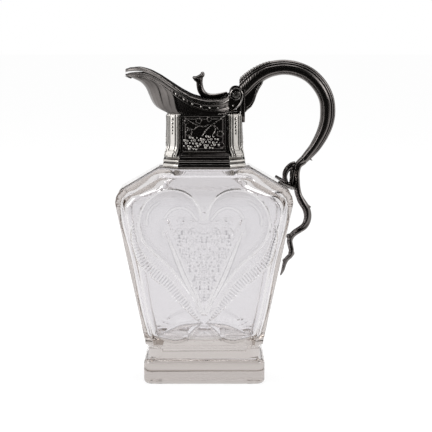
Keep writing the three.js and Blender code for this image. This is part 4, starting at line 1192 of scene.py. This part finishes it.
def lidSheet():
    # a bead runs round the edge, fine steps inside it, and a low ridge down the middle
    count, edge = lid["across"], lid["edge"]
    share = np.linspace(0, 1, lid["stations"])
    stations = mouth["rear"] + (mouth["tip"] + 0.5 - mouth["rear"]) * (1 - (1 - share) ** 1.25)
    across = np.sin(np.linspace(-1, 1, count + 1) * math.pi / 2)
    rings = []
    for x in stations:
        half = max(1.2, float(mouthHalfAt(x)) - lid["inset"])
        fromEdge = (1 - np.abs(across)) * half
        bead = sum(high * roundTop((fromEdge - at) / wide) for at, wide, high in lidBeads)
        inGroove = np.clip(1 - np.abs(fromEdge - lid["grooveAt"]) / lid["grooveHalf"], 0, 1)
        bead = bead - lid["groove"] * inGroove
        ridge = lid["ridge"] * np.clip(1 - np.abs(across) * half / lid["ridgeHalf"], 0, 1)
        rounded = lid["rounding"] * (1 - np.clip(fromEdge / lid["roundingWidth"], 0, 1))
        top = lidTopAt(x, across) + bead * min(1, half / lid["beadFade"]) + ridge - rounded
        atEdge = np.abs(across) > 0.999
        low = lidTopAt(x, across) - np.where(atEdge, edge - lid["rounding"], lid["sheet"])
        at = np.full(count + 1, x)
        rings.append(np.vstack([np.column_stack([at, across * half, top]),
                                np.column_stack([at, across * half * 0.995, low])[::-1]]))
    return finishPiece(makeObject("domedLid", *skinRings(rings), agedSilver), "lid", 35, body="lid")


spoutThroat()
rimBand()
lidSheet()
print("mouth and lid ready")


# Hinge scrolls and thumbpiece

hinge = {"x": 26.4, "z": 240.1, "pin": 1.5, "gap": 0.3, "frameHalf": 19.5, "scrollEnd": 24.6}


def plateSolid(name, points, y0, y1, bevel, segments):
    rings = [[(x, y, z) for x, z in points] for y in (y0, y1)]
    return softenEdges(makeObject(name, *skinRings(rings), agedSilver), bevel, segments, 40)


def roundedCasting(nodeName, name, edge, body):
    # the casting itself, with its edges rounded over as filing leaves them
    casting = bpy.data.objects.new(name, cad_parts[nodeName].data.copy())
    bpy.context.scene.collection.objects.link(casting)
    fuseSmooth(softenEdges(casting, edge, 3, 30), 0.22, 2)
    return finishPiece(casting, nodeName, 60, body=body)


scroll = {
    "outer": 5.9, "inner": 5.3, "bottom": 226.4, "edge": 0.5, "bead": 0.62, "petals": 7, "petalAt": 2.55,
    "petal": (0.62, 0.5, 0.62), "coilOuter": 5.3, "coilShrink": 2.2, "coilStart": -0.08, "coilTurn": 2.45,
}


def scrollOutline():
    x, z, low = hinge["x"], hinge["z"], scroll["bottom"]
    left = mouth["rear"] + hinge["gap"]
    outline = [(left, z - 3.6), (left - 0.5, z - 5), (left - 0.5, low + 0.4), (x - 2, low + 1.4),
               (x + 2, low + 4), (x + 4.6, z - 6), (x + 5.8, z - 2.6)]
    for share in np.linspace(0, 1, 40):
        angle = share * 1.12 * math.pi
        radius = scroll["outer"] - (scroll["outer"] - scroll["inner"]) * share
        outline.append((x + radius * math.cos(angle), z + radius * math.sin(angle)))
    return outline


def hingeScroll(side, nodeName):
    # made on the far side, and mirrored for the near one
    inner, end = hinge["frameHalf"] + hinge["gap"], hinge["scrollEnd"]
    x, z, low = hinge["x"], hinge["z"], scroll["bottom"]
    bore = hinge["pin"] + hinge["gap"]
    plate = plateSolid("hingeVolute", scrollOutline(), inner, end - 0.4, scroll["edge"], 3)
    hole = [[(x + bore * math.cos(a), y, z + bore * math.sin(a)) for a in fullTurn(32)]
            for y in (inner - 2, end + 2)]
    booleanWith(plate, makeObject("bore", *skinRings(hole)))
    fuseSmooth(plate, 0.2, 1)
    face = end - 0.45
    line = [(mouth["rear"] + 1, face, low + 1.2), (x - 1.5, face, low + 2), (x + 2.2, face, low + 4.8),
            (x + 4.2, face, z - 5.6)]
    for share in np.linspace(0, 1, 26):
        angle = scroll["coilStart"] * math.pi + share * scroll["coilTurn"] * math.pi
        radius = scroll["coilOuter"] - scroll["coilShrink"] * share
        line.append((x + radius * math.cos(angle), face, z + radius * math.sin(angle)))
    beads = [sweptTube(line, lambda share: scroll["bead"] * (1 - 0.35 * share), polishedSheenSilver, 120, 10)]
    for k in range(scroll["petals"]):
        angle = k / scroll["petals"] * 2 * math.pi
        spot = (x + scroll["petalAt"] * math.cos(angle), face + 0.15, z + scroll["petalAt"] * math.sin(angle))
        beads.append(ball(spot, scroll["petal"], rubbedSilver, 12))
    beads.append(ball((x - 2.6, face, low + 4.6), (pearls["radius"],) * 3, polishedSheenSilver))
    whole = joinObjects(plate, beads)
    if side < 0:
        whole.data.transform(Matrix.Scale(-1, 4, (0, 1, 0)))
        whole.data.flip_normals()
    return finishPiece(whole, nodeName, 35)


thumbStem = [
    (19.4, 240.6, 2.4), (14, 238.7, 3.8), (9, 237.6, 4.6), (4.5, 237.4, 5.2), (0.5, 238.7, 5.6),
    (-2.4, 241.8, 5.8), (-3.7, 246, 5.6), (-4, 250, 5.4), (-3.4, 253.4, 5),
]
thumbHead = {
    "x": -2.4, "z": 255.6, "spread": 6.0, "drop": 2.9, "half": 5.4, "web": 1.25, "stay": 1.3,
    "overLid": 0.15, "voxel": 0.3,
}


def thumbpiece():
    stem = [(x, 0, z) for x, z, _ in thumbStem]
    sizes = [(i / (len(thumbStem) - 1), thick / 2) for i, (_, _, thick) in enumerate(thumbStem)]
    stalkTube = sweptTube(stem, lambda share: float(smoothLine(sizes, share)), agedSilver, 70, 20)
    x, z, spread, drop, half = (thumbHead[k] for k in ("x", "z", "spread", "drop", "half"))
    head = [ball((x + 0.9, 0, z + 0.2), (1.9, half * 0.72, 2.5), agedSilver, 24),
            ball((x - spread + 0.4, 0, z - drop + 0.3), (2.1, half, 1.5), agedSilver, 24, 0.3)]
    web = [(x - spread + 0.6, 0, z - drop + 0.2), (x - 3, 0, z - 1.9), (x + 0.6, 0, z - 0.2)]
    head.append(sweptTube(web, lambda share: thumbHead["web"] + 0.35 * share, agedSilver, 20, 20,
                          squash=3.0))
    under = [(x - spread + 0.2, 0, z - drop - 0.4), (x - 3.2, 0, z - 5.4), (x - 1.8, 0, z - 9)]
    head.append(sweptTube(under, lambda share: thumbHead["stay"] + 0.3 * share, agedSilver, 20, 20,
                          squash=2.0))
    for side in (1, -1):
        brace = [(x - 1.4, side * 1.2, z - 7), (x - 1.6, side * 2.2, z - 4), (x - 2.4, side * 3.6, z - 2.2)]
        head.append(sweptTube(brace, lambda share: thumbHead["stay"], agedSilver, 16, 12))
    whole = fuseSmooth(joinObjects(stalkTube, head), thumbHead["voxel"], 4)
    keepAbove = lidTopAt(np.array([v.co.x for v in whole.data.vertices]) / mm, 0.0) + thumbHead["overLid"]
    for vertex, level in zip(whole.data.vertices, keepAbove):
        vertex.co.z = max(vertex.co.z, level * mm)
    whole.name = "thumbRest"
    return finishPiece(whole, "thumbpiece", 50, body="lid")


roundedCasting("hinge_frame", "hingeCasting", 0.5, "root")
roundedCasting("lid_knuckle", "lidKnuckle", 0.25, "lid")
hingeScroll(-1, "hinge_scroll_near")
hingeScroll(1, "hinge_scroll_far")
thumbpiece()
print("hinge ready")


# Handle: bow, crest, root leaf, back plate, tail, tendril and shoulder leaves

# x, z, and the widths along and across the handle's plane
bowLine = [
    (28.8, 241.2, 15, 15), (33.8, 245.9, 14.8, 14.8), (38.3, 250.4, 14.4, 14.4), (43.8, 254.8, 14, 14),
    (51.8, 259.2, 13.4, 13.6), (59, 261.2, 12.8, 13.2), (67.2, 262, 12.5, 13), (76.9, 260.6, 12.4, 13),
    (88, 255.6, 12.6, 12.8), (97, 246.6, 12.8, 12.6), (102.4, 235.9, 12.7, 12.4),
    (103.7, 225.3, 12.8, 12.2), (102.7, 215.5, 12.1, 11.8), (99.1, 205.4, 10.8, 11),
    (93.1, 195, 9.3, 9.4), (86.7, 187.4, 8.0, 7.8), (83.8, 184.3, 7.2, 7),
]


def branchFrames(line, shares):
    # middle, outward and forward directions and half widths of a line in the handle's plane
    shares = np.asarray(shares, float)
    track = [(x, 0, z) for x, z, *_ in line]
    centres = splineAt(track, shares)
    ahead, behind = (splineAt(track, np.clip(shares + step, 0, 1)) for step in (1e-4, -1e-4))
    forward = (ahead - behind) / np.linalg.norm(ahead - behind, axis=1)[:, None]
    sizes = splineAt([(entry[2], entry[3] if len(entry) > 3 else entry[2]) for entry in line], shares) / 2
    outward = np.column_stack([-forward[:, 2], np.zeros(len(shares)), forward[:, 0]])
    return centres, outward, forward, sizes


def sectionRing(centre, outward, along, across):
    ring = centre + np.outer(along, outward)
    ring[:, 1] += across
    return ring


bow = {
    "rings": 320, "around": 112, "rootX": 33.8, "crownX": 29.4, "crownUp": 6.8, "scrollClear": 6.6,
    "rootUp": 4.2, "plainFrom": 0.86, "plainOver": 0.12, "sheathEnd": 0.27, "sheathAt": 0.32,
    "sheathHalf": 0.55, "sheathHigh": 0.035, "sheathEdge": 0.12, "sheathTeeth": 9, "sheathVeins": 13,
}
# half of the bow's section, from its back over the flutes to its inner side, in shares of the half widths
bowHalf = [
    (1, 0), (0.985, 0.12), (0.93, 0.2), (0.885, 0.21), (0.9, 0.27), (0.885, 0.37), (0.82, 0.46),
    (0.73, 0.5), (0.685, 0.48), (0.67, 0.53), (0.63, 0.62), (0.55, 0.68), (0.46, 0.69), (0.42, 0.66),
    (0.39, 0.7), (0.33, 0.79), (0.2, 0.88), (0, 0.96), (-0.2, 0.99), (-0.4, 0.97), (-0.56, 0.9),
    (-0.62, 0.84), (-0.68, 0.84), (-0.8, 0.76), (-0.92, 0.56), (-1, 0.28), (-1.01, 0),
]


def sheathRelief(share, section):
    # a long veined leaf lies along each flank from the root to the top of the bow
    reach = share / bow["sheathEnd"]
    if reach > 1:
        return np.zeros(len(section))
    place = (section[:, 0] - bow["sheathAt"]) / bow["sheathHalf"]
    teeth = abs(math.cos(reach * bow["sheathTeeth"] * math.pi))
    width = (1 - reach ** 2) ** 0.5 * (0.86 + 0.14 * teeth)
    inside = np.clip((width - np.abs(place)) / bow["sheathEdge"], 0, 1)
    vein = np.abs(np.sin((reach * bow["sheathVeins"] + np.abs(place) * 1.6) * math.pi))
    return inside * (bow["sheathHigh"] - bow["sheathHigh"] * (1 - vein) ** 3) * (section[:, 0] > -0.5)


def handleBow():
    half = evenAlong(bowHalf, np.linspace(0, 1, bow["around"] // 2 + 1), 1200)
    section = np.vstack([half, half[1:-1][::-1] * (1, -1)])
    plain = section / np.linalg.norm(section, axis=1)[:, None] * 0.97
    shares = np.linspace(0, 1, bow["rings"])
    centres, outward, _, sizes = branchFrames(bowLine, shares)
    rings = []
    for i, share in enumerate(shares):
        ease = float(np.clip((share - bow["plainFrom"]) / bow["plainOver"], 0, 1))
        shape = section * (1 - ease) + plain * ease
        shape = shape * (1 + sheathRelief(share, section))[:, None]
        along, across = shape[:, 0] * sizes[i, 0], shape[:, 1] * sizes[i, 1]
        rings.append(sectionRing(centres[i], outward[i], along, across))
    loop = makeObject("handleLoop", *skinRings(rings), agedSilver)
    # the root is cut back to the plate, and rounded to clear the moving knuckle
    x, z, reach = hinge["x"], hinge["z"], bow["scrollClear"]
    clear = [(-20, 150), (bow["rootX"], 150), (bow["rootX"], z + bow["rootUp"])]
    clear += [(x + reach * math.cos(a), z + reach * math.sin(a)) for a in np.linspace(0.65, 1.2, 5)]
    clear += [(bow["crownX"], z + bow["crownUp"]), (bow["crownX"], 300), (-20, 300)]
    front = [[(x, y, z) for x, z in clear] for y in (-40, 40)]
    booleanWith(loop, makeObject("rootCut", *skinRings(front)))
    return finishPiece(loop, "handle_bow", 50)


crest = {
    "count": 12, "first": 0.095, "last": 0.285, "up": 0.87, "out": 0.42, "bead": 1.65, "taper": 0.5,
    "rail": 0.85, "railUnder": 0.04,
}


def crestRow(side, nodeName):
    count = crest["count"]
    shares = np.linspace(crest["first"], crest["last"], count)
    centres, outward, forward, sizes = branchFrames(bowLine, shares)
    beads, line = [], []
    for i in range(count):
        away = side * sizes[i, 1] * crest["out"]
        spot = centres[i] + outward[i] * sizes[i, 0] * crest["up"]
        spot[1] = away
        size = crest["bead"] - crest["taper"] * i / count
        turn = math.atan2(forward[i, 2], forward[i, 0])
        beads.append(ball(spot, (size * 1.02, size * 0.9, size * 0.95), agedSilver, 18, -turn))
        seat = centres[i] + outward[i] * sizes[i, 0] * (crest["up"] - crest["railUnder"])
        line.append(tuple(seat + np.array([0, away, 0])))
    rail = sweptTube(line, lambda share: crest["rail"], agedSilver, 60, 12)
    rail.name = "crestRow"
    return finishPiece(joinObjects(rail, beads), nodeName, 60)


rootSheath = {"half": 5.4, "edge": 1.7, "rib": 0.55, "voxel": 0.25}
rootLine = [
    (33.8, 223.5), (36, 226), (39.5, 228.9), (42.1, 233.6), (43.8, 238.8), (45.8, 243.4), (49.6, 249.6),
]


def rootLeaf():
    half, rib = rootSheath["half"], rootSheath["rib"]
    outline = rootLine + [(44, 252), (bow["rootX"], 240)]
    body = plateSolid("handleRootLeaf", outline, -half, half, rootSheath["edge"], 5)
    fuseSmooth(body, rootSheath["voxel"], 2)
    ribs = []
    for side in (1, -1):
        for depth in (0.9, 2.6):
            line = [(x - 0.3 * depth, side * (half - 0.25), z + depth) for x, z in rootLine[1:]]
            ribs.append(sweptTube(line, lambda share: rib * (1 - 0.5 * share), agedSilver, 40, 10))
    return finishPiece(joinObjects(body, ribs), "handle_root_leaf", 45)


rearPlate = {"half": 8.0, "low": 216.0, "high": 247.0, "x": 30.6, "thick": 3.5, "edge": 0.6, "voxel": 0.25}


def backPlate():
    half, low, high, x0 = (rearPlate[k] for k in ("half", "low", "high", "x"))
    outline = [(-half * 0.55, low), (half * 0.55, low), (half, low + 5), (half, high - 4), (half - 3, high),
               (-half + 3, high), (-half, high - 4), (-half, low + 5)]
    rings = [[(x, y, z) for y, z in outline] for x in (x0, x0 + rearPlate["thick"])]
    body = softenEdges(makeObject("handlePlate", *skinRings(rings), agedSilver), rearPlate["edge"], 3, 30)
    return finishPiece(fuseSmooth(body, rearPlate["voxel"], 1), "handle_back_plate", 60)


branch = {"voxel": 0.28, "furrow": 0.2, "thorn": 0.12}


def twistedBranch(name, line, count, around, turns):
    shares = np.linspace(0, 1, count)
    centres, outward, _, sizes = branchFrames(line, shares)
    angles = fullTurn(around)
    rings = []
    for i, share in enumerate(shares):
        furrow = 1 - branch["furrow"] * np.abs(np.cos(angles + 0.9 + turns * 2 * math.pi * share)) ** 8
        along, across = np.cos(angles) * furrow * sizes[i, 0], np.sin(angles) * furrow * sizes[i, 1]
        rings.append(sectionRing(centres[i], outward[i], along, across))
    return makeObject(name, *skinRings(rings), agedSilver)


def thornOn(base, tip, radius):
    middle = tuple((np.array(base) + np.array(tip)) / 2 + (0, 0, 0.2))
    return sweptTube([base, middle, tip], lambda share: radius * (1 - share) ** 0.8 + branch["thorn"],
                     agedSilver, 20, 14)


# x, z and thickness
tailLine = [
    (79.4, 180, 6.4), (78, 175.2, 5.6), (77.8, 170.9, 5.2), (78, 166.7, 5.2), (78.2, 161.6, 5.8),
    (79.2, 155.7, 6.6), (81.7, 149.8, 7.2), (85.9, 143, 7), (87.3, 137, 6.6), (86.6, 132, 6.3),
    (84.4, 127.9, 5.9), (80.6, 125, 5.6), (76.6, 122.4, 5.4), (73.6, 119.3, 5.2), (72.2, 115.4, 5),
    (72.8, 111.2, 5.2), (73.6, 107, 5.4), (72.9, 103, 5.1), (69.7, 99.8, 4.3), (67.9, 96, 3.6),
    (66.5, 90.6, 2.8), (64.5, 85.9, 1.2),
]
thorns = [((87.2, 0, 186.0), (91.2, 0, 183.2), 1.2), ((86.5, 0, 145), (90.3, 0, 143.9), 1.7)]
tailKnots = [
    ((71.9, 0, 119.2), (2.7, 2.4, 2.5)), ((73.6, 0, 104.8), (2.8, 2.3, 2.8)),
    ((68.4, 0, 98.6), (2.4, 2.0, 2.0)),
]


def handleTail():
    # starts inside the end of the bow, and follows its direction
    centres, _, forward, _ = branchFrames(bowLine, [0.9999])
    start = centres[0] + forward[0] * 0.15
    second = start + forward[0] * 1.5
    thick = bowLine[-1][2]
    line = [(start[0], start[2], thick), (second[0], second[2], thick)] + tailLine
    body = twistedBranch("handleBranch", line, 420, 40, 1.1)
    knots = [thornOn(*thorn) for thorn in thorns]
    knots += [ball(centre, radii, agedSilver, 20) for centre, radii in tailKnots]
    return finishPiece(fuseSmooth(joinObjects(body, knots), branch["voxel"], 2), "handle_tail", 60)


tendrilLines = [
    [(77.1, 180.7, 5.2), (73.3, 179.4, 5.2), (70, 176.4, 5), (68.1, 172.6, 4.9), (67.9, 168.4, 4.8),
     (69, 163.9, 4.2)],
    [(77.9, 180.7, 5), (75.4, 176.9, 4.8), (74.2, 172.6, 4.7), (73.9, 168.4, 4.7), (73.6, 163, 4.4)],
]


def handleTendril():
    first, second = (twistedBranch("handleTwig", line, 120, 36, 0.5) for line in tendrilLines)
    return finishPiece(fuseSmooth(joinObjects(first, [second]), branch["voxel"], 2), "handle_tendril", 60)


shoulderLeaf = {
    "half": 5.0, "thick": 4.0, "baseX": 73.2, "offset": 2.2, "cup": 0.9, "tip": 0.12, "wave": 0.06,
    "waves": 38, "rib": 0.5, "ribHalf": 0.14, "vein": 0.14,
}
leafSpread = {-1: (27.0, 58.0), 1: (23.0, 46.0)}  # length and turn of the near leaf and the far one


def shoulderLeafAt(side, nodeName):
    # modelled flat, then turned and laid on the sloping shoulder
    leaf = shoulderLeaf
    half, thick, baseX = leaf["half"], leaf["thick"], leaf["baseX"]
    length, turn = leafSpread[side][0], math.pi - side * math.radians(leafSpread[side][1])
    rings = []
    for share in np.linspace(0, 1, 60):
        wide = half * math.sin(math.pi * (0.14 + 0.86 * share)) ** 0.75
        wide = wide * (1 + leaf["wave"] * math.cos(share * leaf["waves"])) + leaf["tip"]
        ring = []
        for angle in fullTurn(36):
            across = math.cos(angle)
            rib = leaf["rib"] * max(0, 1 - abs(across) / leaf["ribHalf"])
            rib += leaf["vein"] * math.cos(across * 14 + share * 26)
            high = thick * 0.5 * math.sin(angle) * (1 - 0.45 * share) * (1 - 0.3 * across ** 2)
            high += rib * (math.sin(angle) > 0) * (1 - share) + leaf["cup"] * across ** 2 * (1 - share)
            ring.append((share * length, across * wide, thick / 2 + high))
        rings.append(ring)
    verts, faces = skinRings(rings)
    x = verts[:, 0] * math.cos(turn) - verts[:, 1] * math.sin(turn)
    y = verts[:, 0] * math.sin(turn) + verts[:, 1] * math.cos(turn)
    z, slope = verts[:, 2], math.atan2(1, slopeRun)
    base = slopeZ + (slopeX - baseX) / slopeRun + sleeve["gap"]
    placed = np.column_stack([x * math.cos(slope) + z * math.sin(slope) + baseX,
                              y + side * leaf["offset"],
                              z * math.cos(slope) - x * math.sin(slope) + base])
    return finishPiece(makeObject("shoulderLeaf", placed, faces, agedSilver), nodeName, 60)


handleBow()
crestRow(-1, "crest_row_near")
crestRow(1, "crest_row_far")
rootLeaf()
backPlate()
handleTail()
handleTendril()
shoulderLeafAt(-1, "shoulder_leaf_near")
shoulderLeafAt(1, "shoulder_leaf_far")
print("handle ready")


# Stage: floor, camera, lamps and the dark screens that the metal mirrors

view = {"distance": 1600.0, "height": 321.0, "aimX": 9.8, "aimZ": 136.5, "widthAtJug": 365.2, "film": 36}


def aimAt(obj, place, aim):
    obj.location = place
    obj.rotation_euler = (aim - place).to_track_quat("-Z", "Y").to_euler()
    bpy.context.scene.collection.objects.link(obj)


def makeCamera():
    camera = bpy.data.objects.new("camera", bpy.data.cameras.new("camera"))
    eye = Vector((view["aimX"], -view["distance"], view["height"])) * mm
    aim = Vector((view["aimX"], 0, view["aimZ"])) * mm
    aimAt(camera, eye, aim)
    camera.data.sensor_width = view["film"]
    camera.data.lens = view["film"] * (aim - eye).length / (view["widthAtJug"] * mm)
    camera.data.clip_end = 50
    bpy.context.scene.camera = camera


def seenByLens(tree):
    # 1 for what is seen straight, in metal or through glass, and 0 for what lights the object
    path = addNode(tree, "ShaderNodeLightPath")
    seen = path.outputs["Is Camera Ray"]
    for ray in ("Is Glossy Ray", "Is Transmission Ray"):
        larger = addNode(tree, "ShaderNodeMath", operation="MAXIMUM")
        tree.links.new(seen, larger.inputs[0])
        tree.links.new(path.outputs[ray], larger.inputs[1])
        seen = larger.outputs[0]
    return seen


floorLook = {"half": 9000, "tint": (0.24, 0.24, 0.24, 1), "glow": 0.835}


def makeFloor():
    half = floorLook["half"]
    floor = makeObject("floor", [(-half, -half, 0), (half, -half, 0), (half, half, 0), (-half, half, 0)],
                       [(0, 1, 2, 3)])
    material, tree, _ = nodeMaterial("paleFloor")
    tree.nodes.clear()
    link = tree.links.new
    matt = addNode(tree, "ShaderNodeBsdfDiffuse", Color=floorLook["tint"])
    glow = addNode(tree, "ShaderNodeEmission", Color=(1, 1, 1, 1))
    link(mapValue(tree, seenByLens(tree), To_Max=floorLook["glow"]), glow.inputs["Strength"])
    both = addNode(tree, "ShaderNodeAddShader")
    link(matt.outputs[0], both.inputs[0])
    link(glow.outputs[0], both.inputs[1])
    link(both.outputs[0], addNode(tree, "ShaderNodeOutputMaterial").inputs["Surface"])
    floor.data.materials.append(material)


worldLook = {"light": 0.62, "seen": 1.0}


def makeWorld():
    world = bpy.data.worlds.new("studio")
    bpy.context.scene.world = world
    world.use_nodes = True
    tree = world.node_tree
    back = tree.nodes["Background"]
    back.inputs["Color"].default_value = (1, 1, 1, 1)
    level = mapValue(tree, seenByLens(tree), To_Min=worldLook["light"], To_Max=worldLook["seen"])
    tree.links.new(level, back.inputs["Strength"])


lamps = {  # place, aim, size and power, in metres and watts
    "lampLeft": ((-1.5, -0.5, 1.1), (0, 0, 0.15), 0.9, 9),
    "lampRight": ((1.4, -0.7, 0.9), (0, 0, 0.15), 0.7, 6),
    "lampTop": ((0.1, 0.3, 1.9), (0, 0, 0.1), 1.2, 10),
}


def makeLamp(name, place, aim, size, watts):
    lamp = bpy.data.objects.new(name, bpy.data.lights.new(name, "AREA"))
    lamp.data.energy = watts
    lamp.data.size = size
    aimAt(lamp, Vector(place), Vector(aim))


screenLook = {"tint": (0.012, 0.011, 0.010, 1), "roughness": 1.0}
screens = {  # corners in millimetres
    "screenFront": [(-2300, -2300, 0), (2300, -2300, 0), (2300, -2300, 2400), (-2300, -2300, 2400)],
    "screenRight": [(2300, -2300, 0), (2300, -800, 0), (2300, -800, 2400), (2300, -2300, 2400)],
    "screenAbove": [(-2300, -2300, 2400), (2300, -2300, 2400), (1500, 300, 2800), (-1500, 300, 2800)],
    "screenFloor": [(-520, -230, 4), (520, -230, 4), (2300, -2300, 4), (-2300, -2300, 4)],
    "screenBack": [(-1500, 2300, 260), (1500, 2300, 260), (1500, 2300, 2400), (-1500, 2300, 2400)],
}


def makeScreen(name, corners):
    screen = makeObject(name, corners, [(0, 1, 2, 3)])
    material, _, shader = nodeMaterial(name)
    shader.inputs["Base Color"].default_value = screenLook["tint"]
    shader.inputs["Roughness"].default_value = screenLook["roughness"]
    screen.data.materials.append(material)
    for ray in ("camera", "diffuse", "transmission", "shadow", "volume_scatter"):
        setattr(screen, "visible_" + ray, False)


makeCamera()
makeFloor()
makeWorld()
for name, lamp in lamps.items():
    makeLamp(name, *lamp)
for name, corners in screens.items():
    makeScreen(name, corners)
# long enough for light to find its way out of the cut glass
bpy.context.scene.cycles.max_bounces = 32
bpy.context.scene.cycles.glossy_bounces = 24
bpy.context.scene.cycles.transmission_bounces = 32
bpy.context.scene.view_settings.view_transform = "Standard"
print("stage ready")
